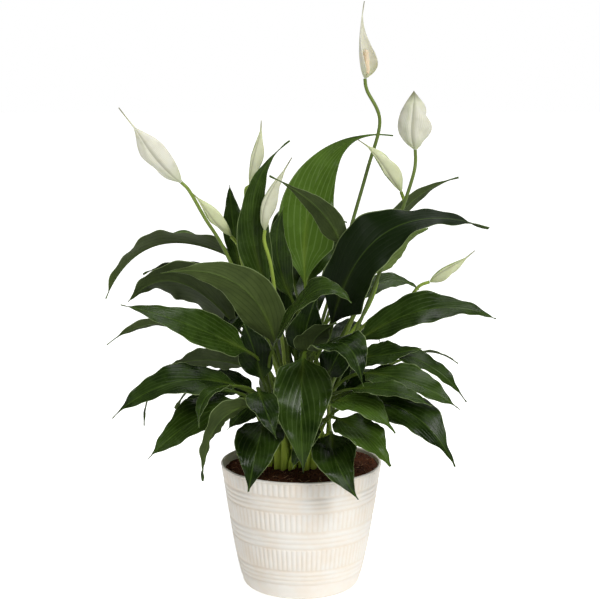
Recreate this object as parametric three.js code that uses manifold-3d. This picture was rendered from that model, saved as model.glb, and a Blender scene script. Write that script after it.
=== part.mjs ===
// Potted peace lily. A moulded round pot with bands of rings and flutes holds soil, and leaves and
// flower stems stand in holes in the soil. Millimetres, +Z up. The origin is the centre of the pot's
// flat underside, and -Y is the side that is looked at.
import * as THREE from 'three';
import Module from 'manifold-3d';

const wasm = await Module();
wasm.setup();

// Driving dimensions: the pot.
const rimRadius = 82.5;
const potHeight = 128.3;
const footRadius = 60.5;
const footRounding = 7.4;
const potBulge = 2.2;
const potWall = 3;
const reliefDepth = 0.9;
const potColumns = 36;
const fluteBands = [[112.5, 126.4], [75.4, 95.1], [33.4, 56.1]];
const ringBands = [[96.4, 110.6], [57.2, 73.4], [17.4, 32.0]];
const ringsPerBand = 3;
const bandShoulder = 0.8;
const lipRadius = 1;
const footSteps = 2;
const floorRise = 8;
const floorInset = 4;

// Driving dimensions: the soil and the holes in it.
const soilEdge = 121.5;
const soilMound = 6;
const soilSlope = 0.03;
const rootDepth = 22;
const gap = 0.3;
const crumble = 1.3;
const rootRings = [[5, 6], [11, 13], [17, 20], [23, 27], [28, 34]];
const clumpCentre = [-3, 4];

// Driving dimensions: the plant.
const petioleRadius = 2.1;
const petioleTopRadius = 1.6;
const bladeThickness = 0.9;
const stemRadius = 1.9;
const standing = 3;

const potCream = 0xeee8dc;
const soilBrown = 0x3a1d12;
const leafGreen = 0x2f5a1a;
const stemGreen = 0x7f9a45;
const bloomWhite = 0xf4f2e8;
const spadixCream = 0xf1e2c4;

// ---------------------------------------------------------------------------------------------
// Small tools.
const vector = (list) => new THREE.Vector3(list[0], list[1], list[2]);
const up = vector([0, 0, 1]);

function mix(from, to, share) {
  return from + (to - from) * share;
}

function clamp01(value) {
  return Math.min(1, Math.max(0, value));
}

// A fixed sequence of numbers from 0 to 1, the same on every run.
function makeRandom(seed) {
  let state = seed;
  return () => {
    state = (state * 16807) % 2147483647;
    return state / 2147483647;
  };
}

function solidOf(shape) {
  return new wasm.Manifold(new wasm.Mesh({
    numProp: 3,
    vertProperties: new Float32Array(shape.points.flat()),
    triVerts: new Uint32Array(shape.faces.flat()),
  }));
}

function geometryOfSolid(solid) {
  const mesh = solid.getMesh();
  const geometry = new THREE.BufferGeometry();
  geometry.setAttribute('position', new THREE.BufferAttribute(mesh.vertProperties, mesh.numProp));
  geometry.setIndex(new THREE.BufferAttribute(mesh.triVerts, 1));
  return geometry;
}

// Joins loops of points, each [x, y, z], into one closed skin. Neighbouring loops have the same
// number of points, or one has twice as many as the other.
function loft(loops, closeStart, closeEnd) {
  const points = loops.flat();
  const faces = [];
  let start = 0;
  for (let row = 0; row + 1 < loops.length; row += 1) {
    const low = loops[row].length;
    const high = loops[row + 1].length;
    const next = start + low;
    const count = Math.min(low, high);
    for (let column = 0; column < count; column += 1) {
      const after = (column + 1) % count;
      if (low === high) {
        faces.push([start + column, start + after, next + after]);
        faces.push([start + column, next + after, next + column]);
      } else if (high > low) {
        const fine = next + 2 * column;
        const fineAfter = next + ((2 * column + 2) % high);
        faces.push([start + column, fine + 1, fine]);
        faces.push([start + column, start + after, fine + 1]);
        faces.push([start + after, fineAfter, fine + 1]);
      } else {
        const fine = start + 2 * column;
        const fineAfter = start + ((2 * column + 2) % low);
        faces.push([fine, fine + 1, next + column]);
        faces.push([fine + 1, next + after, next + column]);
        faces.push([fine + 1, fineAfter, next + after]);
      }
    }
    start = next;
  }
  closeStart(points, faces, 0, loops[0].length);
  closeEnd(points, faces, start, loops[loops.length - 1].length);
  return { points, faces };
}

// Closes a round end with a fan of triangles to a point at its middle.
function fanCap(centre, upward) {
  return (points, faces, first, count) => {
    const middle = points.length;
    points.push(centre);
    for (let side = 0; side < count; side += 1) {
      const after = (side + 1) % count;
      faces.push(upward ? [first + side, first + after, middle] : [first + after, first + side, middle]);
    }
  };
}

function circle(radius, height, count, ripple = 0, twist = 0) {
  return Array.from({ length: count }, (unused, side) => {
    const angle = ((side + twist) / count) * 2 * Math.PI;
    const reach = radius - (side % 2) * ripple;
    return [reach * Math.cos(angle), reach * Math.sin(angle), height];
  });
}

function meshOf(name, geometry, colour, roughness) {
  const flat = geometry.index ? geometry.toNonIndexed() : geometry;
  flat.computeVertexNormals();
  const material = new THREE.MeshStandardMaterial({ color: colour, roughness, metalness: 0 });
  const mesh = new THREE.Mesh(flat, material);
  mesh.name = name;
  return mesh;
}

function geometryOfShape(shape) {
  const geometry = new THREE.BufferGeometry();
  geometry.setAttribute('position', new THREE.Float32BufferAttribute(shape.points.flat(), 3));
  geometry.setIndex(shape.faces.flat());
  return geometry;
}

// ---------------------------------------------------------------------------------------------
// The pot: one moulded shell, wider at the rim, with a rounded foot. Its wall carries three bands of
// upright flutes and, between them, three bands of rings.
function potRadius(height) {
  const share = clamp01((height - footRounding) / (potHeight - footRounding));
  return mix(footRadius, rimRadius, share) + potBulge * Math.sin(Math.PI * share ** 0.6);
}

function potShape() {
  const loops = [];
  for (let step = 0; step <= footSteps; step += 1) {
    const angle = (step / footSteps) * (Math.PI / 2);
    const reach = footRadius - footRounding * (1 - Math.sin(angle));
    loops.push(circle(reach, footRounding * (1 - Math.cos(angle)), potColumns));
  }
  for (let band = ringBands.length - 1; band >= 0; band -= 1) {
    const [ringLow, ringHigh] = ringBands[band];
    for (let step = 0; step <= 2 * ringsPerBand; step += 1) {
      const height = mix(ringLow, ringHigh, step / (2 * ringsPerBand));
      const valley = step % 2 === 0 ? reliefDepth : 0;
      loops.push(circle(potRadius(height) - valley, height, potColumns));
    }
    const [fluteLow, fluteHigh] = fluteBands[band];
    for (const height of [fluteLow + bandShoulder, fluteHigh - bandShoulder]) {
      loops.push(circle(potRadius(height), height, 2 * potColumns, reliefDepth));
    }
  }
  const underLip = potHeight - 2 * lipRadius;
  loops.push(circle(potRadius(underLip) - reliefDepth, underLip, potColumns));
  loops.push(circle(rimRadius, potHeight - lipRadius, potColumns));
  loops.push(circle(rimRadius - lipRadius, potHeight, potColumns));
  loops.push(circle(rimRadius - potWall + lipRadius, potHeight, potColumns));
  for (const height of [potHeight - lipRadius, potHeight / 2, footRounding + floorRise]) {
    loops.push(circle(potRadius(height) - potWall, height, potColumns));
  }
  loops.push(circle(footRadius - potWall - floorInset, potWall, potColumns));
  return loft(loops, fanCap([0, 0, 0], false), fanCap([0, 0, potWall], true));
}

// The soil's surface is a low mound, a little higher on one side.
function soilHeight(x, y) {
  const share = Math.hypot(x, y) / rimRadius;
  return soilEdge + soilSlope * x + soilMound * Math.max(0, 1 - share * share);
}

// ---------------------------------------------------------------------------------------------
// Places for roots: rings of plain holes round the clump's centre.
const ringTwist = 1 / 16;
const rootPlaces = rootRings.flatMap(([count, radius]) => circle(radius, 0, count, 0, ringTwist * radius)
  .map(([x, y]) => ({ x: clumpCentre[0] + x, y: clumpCentre[1] + y, free: true })));

// Free places, best first. A low blade grows from the clump's edge on its own side, and a high one
// from nearer the centre.
const lowBlade = 190;
const highBlade = 320;
const edgeReach = 30;
const centreReach = 5;

function rootPlacesFor(base) {
  const dx = base[0] - clumpCentre[0];
  const dy = base[1] - clumpCentre[1];
  const height = clamp01((base[2] - lowBlade) / (highBlade - lowBlade));
  const reach = mix(edgeReach, centreReach, height) / Math.hypot(dx, dy);
  const wantedX = clumpCentre[0] + dx * reach;
  const wantedY = clumpCentre[1] + dy * reach;
  const distance = (place) => Math.hypot(place.x - wantedX, place.y - wantedY);
  return rootPlaces.filter((place) => place.free).sort((a, b) => distance(a) - distance(b));
}

// ---------------------------------------------------------------------------------------------
// A leaf: a round stalk that stands in its hole and bends into a long pointed blade, folded up along
// its middle and waved at its edges. The shape is made round the root, which is at x = y = 0.
const longBladeStations = [0, 0.07, 0.17, 0.29, 0.43, 0.58, 0.73, 0.88, 1];
const shortBladeStations = [0, 0.1, 0.24, 0.42, 0.62, 0.83, 1];
const longBlade = 140;
const stalkStations = [0.5];
const across = [-1, -0.5, 0, 0.5, 1];
const stalkAngles = [162, 126, 90, 54, 18].map((angle) => THREE.MathUtils.degToRad(angle));

const usualRound = 0.8;
const usualTaper = 1.4;

// How far along its own rise a stalk goes straight up, and how far it runs in line with the blade.
const stalkUpright = 0.45;
const stalkInLine = 0.35;
const bentInLine = 0.2;

// A leaf from another's sheath starts this far from the other stalk's foot to its first bend, with a
// thinner stalk.
const sheathShare = 0.2;
const sheathThickness = 0.8;

// The blade's margin waves up and down, its fold flattens toward the margin, and its midrib stands
// out below.
const waveDepth = 0.045;
const waveTurns = 17;
const waveSlant = 1.3;
const foldEasing = 0.35;
const midribShare = 0.7;
const tipThickness = 0.5;
const roundUntil = 0.12;

// A blade's width along it, as a share of the greatest: a small round makes a blunter base, and a
// great taper a longer point.
function bladeWidthShare(share, { round, taper }) {
  const widest = round / (round + taper);
  return (share / widest) ** round * ((1 - share) / (1 - widest)) ** taper;
}

function leafShape(leaf, root, from, extra = 0) {
  const origin = new THREE.Vector3(root.x, root.y, 0);
  const base = vector(leaf.base).sub(origin);
  const middle = vector(leaf.middle).sub(origin);
  const tip = vector(leaf.tip).sub(origin);
  const control = middle.clone().multiplyScalar(2).addScaledVector(base, -0.5).addScaledVector(tip, -0.5);
  const blade = new THREE.QuadraticBezierCurve3(base, control, tip);
  const foot = from ? from.point : new THREE.Vector3(0, 0, soilHeight(root.x, root.y) + standing);
  const rise = base.distanceTo(foot);
  const heading = blade.getTangent(0);
  const straight = foot.clone().addScaledVector(up, stalkUpright * rise);
  const bend = leaf.via ? vector(leaf.via).sub(origin) : straight;
  const inLine = rise * (leaf.via ? bentInLine : stalkInLine);
  const approach = base.clone().addScaledVector(heading, -inLine);
  const stalk = new THREE.CubicBezierCurve3(foot, bend, approach, base);
  const footThick = petioleRadius * (from ? sheathThickness : 1);

  const stations = [];
  if (!from) {
    const bottom = new THREE.Vector3(0, 0, soilHeight(root.x, root.y) - rootDepth);
    stations.push({ point: bottom, tangent: up, share: -1, thick: petioleRadius });
  }
  stations.push({ point: foot, tangent: from ? from.tangent : up, share: -1, thick: footThick });
  for (const step of stalkStations) {
    stations.push({
      point: stalk.getPoint(step),
      tangent: stalk.getTangent(step),
      share: -1,
      thick: mix(footThick, petioleTopRadius, step),
    });
  }
  const long = base.distanceTo(middle) + middle.distanceTo(tip) > longBlade;
  for (const share of long ? longBladeStations : shortBladeStations) {
    stations.push({
      point: blade.getPoint(share),
      tangent: blade.getTangent(share),
      share,
      thick: mix(petioleTopRadius, tipThickness, Math.sqrt(share)),
    });
  }

  const mainSide = blade.getTangent(0.5).cross(vector(leaf.face)).normalize();
  const tipSide = leaf.tipFace ? blade.getTangent(1).cross(vector(leaf.tipFace)).normalize() : mainSide;
  let side = mainSide;
  for (let index = stations.length - 1; index >= 0; index -= 1) {
    const station = stations[index];
    const guide = station.share >= 0 ? mainSide.clone().lerp(tipSide, station.share) : side;
    side = guide.clone().addScaledVector(station.tangent, -guide.dot(station.tangent)).normalize();
    station.side = side;
    station.normal = side.clone().cross(station.tangent).normalize();
  }

  const halfWidth = leaf.width / 2;
  const fold = Math.tan(THREE.MathUtils.degToRad(leaf.fold));
  const loops = stations.map((station) => {
    const stalkness = station.share < 0 ? 1 : clamp01(1 - station.share / roundUntil);
    const wide = halfWidth * bladeWidthShare(Math.max(0, station.share), leaf);
    const half = Math.max(station.thick, wide);
    const top = [];
    const bottom = [];
    across.forEach((place, column) => {
      const reach = place * half;
      const turn = waveTurns * station.share + waveSlant * place + leaf.phase;
      const wave = waveDepth * halfWidth * place * place * Math.sin(turn);
      const lift = Math.abs(reach) * fold - (foldEasing * fold * reach * reach) / halfWidth + wave;
      const keel = place === 0 ? midribShare * station.thick : 0;
      const stalkReach = (station.thick + extra) * Math.cos(stalkAngles[column]);
      const stalkLift = (station.thick + extra) * Math.sin(stalkAngles[column]);
      const blades = bladeThickness / 2 + extra;
      const sideways = mix(reach + extra * place, stalkReach, stalkness);
      const above = mix(lift + blades, stalkLift, stalkness);
      const below = mix(lift - blades - keel, -stalkLift, stalkness);
      const place3 = (height) => station.point.clone()
        .addScaledVector(station.side, sideways)
        .addScaledVector(station.normal, height)
        .toArray();
      top.push(place3(above));
      bottom.push(place3(below));
    });
    return { top, bottom };
  });
  const firstBend = stalk.getPoint(stalkStations[0]);
  const sheath = {
    point: foot.clone().lerp(firstBend, sheathShare),
    tangent: firstBend.clone().sub(foot).normalize(),
  };
  return { ...ribbonSkin(loops), sheath };
}

// Closes a row of sections, each with the same points above and below, so that both faces are split
// into triangles alike.
function ribbonSkin(loops) {
  const points = [];
  const faces = [];
  const wide = loops[0].top.length;
  const ring = 2 * wide;
  loops.forEach(({ top, bottom }) => points.push(...top, ...bottom));
  for (let row = 0; row + 1 < loops.length; row += 1) {
    const here = row * ring;
    const next = here + ring;
    for (let column = 0; column + 1 < wide; column += 1) {
      const above = here + column;
      const aboveNext = next + column;
      faces.push([above, above + 1, aboveNext + 1], [above, aboveNext + 1, aboveNext]);
      const below = above + wide;
      const belowNext = aboveNext + wide;
      faces.push([below, belowNext + 1, below + 1], [below, belowNext, belowNext + 1]);
    }
    const last = wide - 1;
    faces.push([here, next, next + wide], [here, next + wide, here + wide]);
    faces.push([here + last, here + last + wide, next + last + wide]);
    faces.push([here + last, next + last + wide, next + last]);
  }
  const end = (loops.length - 1) * ring;
  for (let column = 0; column + 1 < wide; column += 1) {
    faces.push([column, column + wide, column + wide + 1], [column, column + wide + 1, column + 1]);
    const above = end + column;
    faces.push([above, above + wide + 1, above + wide], [above, above + 1, above + wide + 1]);
  }
  return { points, faces };
}

// Each leaf: name, blade base, middle and tip, greatest width, the way its upper face looks, and the
// angle that each half rises from flat. The ones that show most come first.
const leafRows = [
  ['front_1', [2, -62, 249], [0, -98, 203], [2, -108, 146], 56, [0, -0.95, 0.3], 8,
    { round: 0.6, via: [40, -40, 240] }],
  ['right_1', [30, -48, 277], [80, -88, 373], [177, -80, 376], 67, [-0.2, -0.9, 0.35], 5,
    { round: 0.45, taper: 1.35, tipFace: [0, -0.35, 1] }],
  ['left_2', [-25, -22, 253], [-63, -56, 320], [-135, -66, 331], 46, [-0.3, 0.85, 0.5], 12,
    { round: 0.55 }],
  ['left_4', [-53, -46, 251], [-110, -84, 285], [-172, -96, 306], 40, [-0.1, -0.75, 0.65], 14,
    { round: 0.8, taper: 1.6 }],
  ['left_1', [-61, 50, 327], [-149, 58, 345], [-204, 44, 290], 60, [-0.1, 0.15, 1], 30],
  ['left_13', [-35, -58, 187], [-43, -98, 163], [-50, -110, 128], 46, [-0.15, -0.85, 0.5], 10,
    { round: 0.6 }],
  ['right_14', [30, -52, 170], [34, -98, 153], [54, -112, 121], 44, [0.1, -0.85, 0.45], 10,
    { round: 0.6 }],
  ['left_7', [-60, -50, 216], [-121, -92, 230], [-179, -104, 198], 47, [-0.3, -0.6, 0.8], 12],
  ['right_4', [55, -12, 253], [127, -14, 288], [196, -6, 277], 45, [-0.15, -0.6, 0.8], 14],
  ['right_9', [60, -50, 230], [105, -90, 230], [150, -102, 206], 42, [0.3, -0.6, 0.75], 12],
  ['right_11', [56, -58, 203], [106, -98, 200], [145, -112, 153], 51, [0.35, -0.7, 0.6], 12],
  ['top_3', [-9, 10, 294], [-24, 12, 345], [-17, 10, 389], 26, [0.1, -0.95, 0.2], 14],
  ['top_1', [-35, -6, 304], [-50, -4, 395], [-11, 6, 455], 36, [0.3, -0.85, 0.3], 12,
    { round: 0.6, taper: 1.9 }],
  ['top_5', [4, 26, 307], [22, 42, 427], [94, 40, 459], 60, [0.3, -0.8, 0.5], 10,
    { round: 0.6, taper: 2.5 }],
  ['top_4', [39, -40, 354], [16, -62, 393], [-30, -78, 425], 26, [-0.3, 0.6, 0.7], 12,
    { round: 0.75, taper: 1.8 }],
  ['top_6', [-29, -46, 251], [10, -94, 316], [47, -108, 309], 36, [0.3, -0.6, 0.7], 10],
  ['right_5', [14, -66, 255], [42, -108, 269], [57, -124, 233], 50, [0.3, -0.7, 0.6], 10, { round: 0.6 }],
  ['right_8', [78, -36, 249], [122, -60, 239], [158, -66, 204], 30, [0.4, -0.5, 0.8], 12],
  ['left_9', [-64, -52, 204], [-104, -92, 192], [-146, -104, 158], 46, [-0.4, -0.75, 0.6], 12],
  ['left_3', [-63, 22, 259], [-127, 34, 308], [-180, 30, 288], 58, [-0.2, 0.75, 0.6], 12],
  ['left_12', [-52, -84, 207], [-87, -112, 192], [-99, -120, 143], 38, [-0.7, 0.5, 0.4], 12],
  ['right_12', [25, -86, 209], [52, -124, 214], [79, -136, 190], 35, [0.3, -0.7, 0.6], 12],
  ['right_13', [34, -70, 190], [61, -106, 181], [84, -118, 155], 42, [0.4, -0.7, 0.6], 12],
  ['right_2', [73, 38, 321], [107, 54, 383], [164, 62, 415], 22, [-0.5, 0.7, 0.3], 14],
  ['left_5', [-66, 6, 251], [-139, 8, 271], [-198, 6, 248], 26, [-0.1, 0.65, 0.8], 14],
  ['left_6', [-52, -6, 227], [-95, -6, 235], [-134, -4, 228], 40, [-0.2, 0.7, 0.7], 14],
  ['right_7', [58, -30, 243], [86, -46, 249], [119, -50, 256], 33, [0.1, -0.6, 0.8], 12],
  ['right_10', [52, -88, 223], [92, -124, 230], [128, -136, 219], 28, [0.2, -0.45, 0.9], 12],
  ['left_14', [-41, -84, 220], [-33, -114, 207], [-23, -124, 183], 30, [0.2, -0.8, 0.5], 12,
    { round: 0.6 }],
  ['right_15', [26, -62, 182], [16, -88, 168], [9, -98, 148], 24, [-0.3, -0.8, 0.4], 12],
  ['left_11', [-62, -94, 227], [-84, -124, 223], [-91, -132, 195], 20, [-0.5, -0.5, 0.7], 14],
  ['left_15', [-57, 28, 301], [-113, 34, 326], [-164, 34, 316], 24, [-0.1, 0.3, 1], 14],
  ['top_2', [-63, 40, 315], [-71, 48, 370], [-74, 50, 408], 24, [0.3, -0.8, 0.2], 14],
  ['right_3', [46, 46, 284], [92, 72, 304], [125, 74, 295], 24, [0.1, -0.6, 0.8], 14],
  ['right_6', [15, -46, 249], [26, -62, 269], [47, -64, 285], 34, [-0.3, 0.6, 0.5], 12],
  ['left_8', [-76, 22, 200], [-142, 30, 207], [-164, 28, 158], 26, [-0.4, -0.2, 0.9], 14],
  ['back_1', [5, 45, 255], [8, 115, 300], [10, 180, 275], 44, [0, -0.2, 1], 12],
  ['back_2', [35, 38, 225], [72, 95, 250], [105, 148, 220], 40, [0.1, -0.2, 1], 12],
  ['back_3', [-35, 40, 240], [-68, 100, 272], [-100, 155, 248], 42, [-0.1, -0.2, 1], 12],
  ['back_4', [46, 34, 190], [84, 82, 205], [116, 120, 165], 36, [0.2, -0.1, 1], 12],
  ['back_5', [-46, 40, 186], [-86, 84, 200], [-118, 122, 160], 38, [-0.2, -0.1, 1], 12],
];

// Leaves that grow from the sheath of another leaf's stalk, in one piece with it: the other leaf's
// name comes first.
const sheathedRows = [
  ['back_1', 'back_8', [-6, 30, 300], [-12, 62, 362], [6, 108, 398], 40, [0, -0.9, 0.5], 12],
  ['back_2', 'back_6', [16, 48, 176], [36, 104, 182], [52, 150, 134], 36, [0.1, 0.1, 1], 12],
  ['back_3', 'back_7', [-14, 50, 182], [-30, 110, 192], [-44, 158, 146], 36, [-0.1, 0.1, 1], 12],
  ['back_4', 'back_9', [12, 42, 215], [28, 95, 240], [45, 140, 215], 44, [0.1, -0.1, 1], 12],
  ['back_5', 'back_10', [-15, 42, 215], [-30, 95, 240], [-48, 140, 215], 44, [-0.1, -0.1, 1], 12],
  ['right_3', 'back_11', [30, 40, 280], [56, 84, 325], [84, 128, 318], 44, [0.1, -0.3, 1], 12],
  ['left_1', 'back_12', [-40, 40, 262], [-62, 84, 308], [-84, 128, 296], 42, [-0.1, -0.3, 1], 12],
  ['top_5', 'back_13', [6, 42, 300], [22, 84, 352], [50, 124, 362], 42, [0.1, -0.5, 1], 12],
  ['left_6', 'left_10', [-63, -30, 206], [-94, -46, 208], [-123, -48, 186], 28, [-0.3, -0.5, 0.9], 14],
  ['right_8', 'right_17', [105, -10, 238], [131, -15, 244], [157, -15, 232], 12, [0, 0.3, 0.9], 14],
  ['left_3', 'mid_1', [-48, 22, 290], [-67, 20, 271], [-92, 15, 239], 38, [-0.4, -0.6, 0.7], 12],
  ['top_6', 'mid_2', [0, -36, 247], [6, -42, 278], [16, -38, 308], 36, [0, -0.97, 0.2], 8,
    { round: 0.6 }],
  ['left_4', 'mid_3', [-39, -34, 220], [-48, -38, 253], [-58, -36, 279], 34, [-0.1, -0.95, 0.3], 10],
  ['right_6', 'mid_4', [29, -26, 222], [41, -32, 246], [53, -30, 267], 30, [0.1, -0.95, 0.3], 10],
  ['right_9', 'mid_5', [39, -20, 201], [71, -26, 212], [101, -22, 222], 34, [0.1, -0.8, 0.6], 10],
  ['top_3', 'mid_7', [-9, 18, 259], [-18, 24, 302], [-9, 22, 344], 34, [0, -0.97, 0.2], 10],
  ['left_6', 'mid_6', [-40, -4, 195], [-57, -10, 183], [-75, -14, 164], 30, [-0.2, -0.8, 0.6], 10],
  ['right_3', 'mid_8', [18, 30, 189], [36, 36, 212], [57, 38, 230], 36, [0.1, -0.95, 0.2], 10],
  ['right_2', 'right_16', [78, 8, 319], [93, 14, 347], [129, 18, 366], 34, [-0.3, 0.9, 0.3], 12],
];

function leafOf([name, base, middle, tip, width, face, fold, more], index) {
  const usual = { round: usualRound, taper: usualTaper, phase: 1.7 * index };
  return { name, base, middle, tip, width, face, fold, ...usual, ...more };
}

// ---------------------------------------------------------------------------------------------
// Flower stems and blooms. A stem passes through the given points and ends in line with its bloom.
// Each bloom: name, the points its stem passes through, its base, middle and tip, its greatest width,
// and the share of its length that is a thin tail.
const bloomRows = [
  ['1', [[-20, -4, 215], [-71, -14, 337], [-95, -24, 381]],
    [-117, -30, 416], [-147, -32, 451], [-176, -34, 488], 25, 0.2],
  ['2', [[-24, 6, 215], [-44, 8, 263], [-59, 4, 331]],
    [-70, -2, 360], [-89, -4, 384], [-110, -6, 405], 13, 0.1],
  ['3', [[-14, 12, 230], [-46, 14, 336]],
    [-52, 14, 410], [-43, 13, 444], [-40, 12, 475], 12, 0.1],
  ['4', [[-17, -8, 230], [-24, -18, 288], [-30, -22, 333]],
    [-36, -22, 368], [-29, -26, 401], [-9, -30, 440], 14, 0.1],
  ['5', [[8, 6, 215], [47, 4, 358], [66, 4, 426], [78, 4, 474]],
    [63, 6, 516], [59, 6, 554], [62, 6, 591], 21, 0.1],
  ['6', [[20, -8, 180], [54, -24, 266], [75, -24, 319], [100, -22, 391], [110, -18, 422]],
    [112, -14, 447], [111, -14, 476], [110, -14, 504], 33, 0],
  ['7', [[18, 2, 180], [46, -8, 263], [73, -10, 325], [96, -10, 380]],
    [99, -10, 405], [84, -12, 433], [55, -14, 457], 15, 0.1],
  ['8', [[30, 8, 200], [60, 10, 263], [104, 12, 290]],
    [130, 6, 313], [150, 5, 325], [175, 4, 345], 12, 0.1],
];

function bloomCurve(base, middle, tip) {
  const control = middle.clone().multiplyScalar(2).addScaledVector(base, -0.5).addScaledVector(tip, -0.5);
  return new THREE.QuadraticBezierCurve3(base, control, tip);
}

// The first and last lengths of a stem: straight up from the soil, and in line with its bloom.
const stemUpright = 16;
const stemInLine = 12;
const tubeSides = 5;

function roundSection(station, sides, flatten = 1) {
  return Array.from({ length: sides }, (unused, side) => {
    const angle = (side / sides) * 2 * Math.PI;
    return station.point.clone()
      .addScaledVector(station.side, station.thick * Math.cos(angle))
      .addScaledVector(station.normal, station.thick * flatten * Math.sin(angle))
      .toArray();
  });
}

// Gives each station along a line a side and a normal, square to its tangent and turned as little as
// possible from one to the next.
function carrySides(stations, firstSide) {
  let side = firstSide;
  for (const station of stations) {
    side = side.clone().addScaledVector(station.tangent, -side.dot(station.tangent)).normalize();
    station.side = side;
    station.normal = station.tangent.clone().cross(side).normalize();
  }
}

function stemShape(root, through, top, heading, extra = 0) {
  const origin = new THREE.Vector3(root.x, root.y, 0);
  const ground = soilHeight(root.x, root.y);
  const foot = new THREE.Vector3(0, 0, ground + standing);
  const end = top.clone().sub(origin);
  const line = new THREE.CatmullRomCurve3([
    foot,
    foot.clone().addScaledVector(up, stemUpright),
    ...through.map((point) => vector(point).sub(origin)),
    end.clone().addScaledVector(heading, -stemInLine),
    end,
  ], false, 'catmullrom', 0.5);
  const bottom = new THREE.Vector3(0, 0, ground - rootDepth);
  const stations = [{ point: bottom, tangent: up, thick: stemRadius + extra }];
  const pieces = 2 * (through.length + 2);
  for (let step = 0; step <= pieces; step += 1) {
    const tangent = step === 0 ? up : line.getTangent(step / pieces);
    stations.push({ point: line.getPoint(step / pieces), tangent, thick: stemRadius + extra });
  }
  carrySides(stations, new THREE.Vector3(1, 0, 0));
  const loops = stations.map((station) => roundSection(station, tubeSides));
  return loft(loops, fanCap(stations[0].point.toArray(), false), fanCap(end.toArray(), true));
}

// A young bloom is still rolled up: a slim white leaf wrapped round itself, widest below its middle
// and drawn out into a thin tail.
const budStations = [0, 0.08, 0.2, 0.34, 0.48, 0.62, 0.76, 0.9, 1];
const budSides = 6;
const budFlatness = 0.72;
const budOverlap = 1.12;
const budWidest = 0.4;
const budBluntness = 0.7;
const budNeck = 0.16;
const leastBud = 0.5;

// A bud's width along it, as a share of the greatest: a blunt base, a swollen body and a thin tail.
function budWidthShare(share, tail) {
  const swelling = Math.sin((Math.PI / 2) * Math.min(1, share / budWidest)) ** budBluntness;
  const along = clamp01((share - budWidest) / (1 - tail - budWidest));
  const narrowing = Math.max(0, Math.cos((Math.PI / 2) * along)) ** (1 + 2.5 * tail);
  return Math.max(budNeck * (1 - share), swelling * narrowing);
}

function budShape(base, middle, tip, width, tail, extra = 0) {
  const curve = bloomCurve(base, middle, tip);
  const stations = budStations.map((share) => ({
    point: curve.getPoint(share).addScaledVector(curve.getTangent(0), share === 0 ? gap : 0),
    tangent: curve.getTangent(share),
    thick: Math.max(leastBud, (width / 2) * budWidthShare(share, tail)) + extra,
  }));
  carrySides(stations, new THREE.Vector3(0, 1, 0).cross(curve.getTangent(0)).normalize());
  const loops = stations.map((station, row) => roundSection(station, budSides, budFlatness)
    .map((point, side) => {
      const overlap = side === 1 && row > 0 && row < stations.length - 2 ? budOverlap : 1;
      return station.point.clone().lerp(vector(point), overlap).toArray();
    }));
  const last = stations[stations.length - 1].point.toArray();
  return loft(loops, fanCap(stations[0].point.toArray(), false), fanCap(last, true));
}

// The open bloom: a hooded white leaf that curls round its spadix.
const hoodStations = [0, 0.07, 0.18, 0.32, 0.48, 0.64, 0.8, 0.92, 1];
const hoodColumns = 7;
const hoodThickness = 1;
const hoodOutline = { round: 0.75, taper: 2.6 };
const hoodNeck = 1.4;
const hoodCurlLow = 1.9;
const hoodCurlHigh = 0.6;

function hoodShape(base, middle, tip, width, face, extra = 0) {
  const curve = bloomCurve(base, middle, tip);
  const loops = hoodStations.map((share) => {
    const point = curve.getPoint(share).addScaledVector(curve.getTangent(0), share === 0 ? gap : 0);
    const tangent = curve.getTangent(share);
    const side = tangent.clone().cross(face).normalize();
    const normal = side.clone().cross(tangent).normalize();
    const half = Math.max(hoodNeck - share, (width / 2) * bladeWidthShare(share, hoodOutline));
    const curl = mix(hoodCurlLow, hoodCurlHigh, share);
    const top = [];
    const bottom = [];
    for (let column = 0; column < hoodColumns; column += 1) {
      const angle = mix(-curl, curl, column / (hoodColumns - 1));
      const radius = half / Math.sin(Math.min(curl, Math.PI / 2));
      const place = (reach) => point.clone()
        .addScaledVector(side, reach * Math.sin(angle))
        .addScaledVector(normal, radius - reach * Math.cos(angle))
        .toArray();
      top.push(place(radius - hoodThickness / 2 - extra));
      bottom.push(place(radius + hoodThickness / 2 + extra));
    }
    return { top, bottom };
  });
  return ribbonSkin(loops);
}

const spadixRadius = 3.1;
const spadixLength = 24;
const spadixRows = 8;
const spadixDimple = 0.86;
const spadixEnd = 0.9;

function spadixShape(foot, axis, extra = 0) {
  const stations = [];
  for (let row = 0; row <= spadixRows; row += 1) {
    const share = row / spadixRows;
    const round = Math.sqrt(Math.max(0, 1 - (2 * share - 1) ** 6));
    stations.push({
      point: foot.clone().addScaledVector(axis, share * spadixLength),
      tangent: axis,
      thick: Math.max(spadixEnd, spadixRadius * round * (row % 2 ? 1 : spadixDimple)) + extra,
    });
  }
  carrySides(stations, new THREE.Vector3(1, 0, 0));
  const loops = stations.map((station) => roundSection(station, budSides));
  return loft(loops, fanCap(stations[0].point.toArray(), false),
    fanCap(stations[spadixRows].point.toArray(), true));
}

// ---------------------------------------------------------------------------------------------
// Assembly. Each leaf is turned a little about its own root, if that is what it takes to stay clear
// of what is already there.
const plant = new THREE.Group();
const taken = [];
const holes = [];
const clearance = 0.2;
const rootChoices = 30;
const swaySteps = [0, 2, -2, 4, -4, 7, -7, 10, -10, 14, -14, 18, -18];

function isClear(solid) {
  const box = solid.boundingBox();
  return taken.every(({ other, bounds }) => {
    for (let axis = 0; axis < 3; axis += 1) {
      if (box.max[axis] < bounds.min[axis] || box.min[axis] > bounds.max[axis]) return true;
    }
    return solid.intersect(other).isEmpty();
  });
}

function keep(solid) {
  taken.push({ other: solid, bounds: solid.boundingBox() });
}

const pot = potShape();
keep(solidOf(pot));
plant.add(meshOf('pot', geometryOfShape(pot), potCream, 0.7));

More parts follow.
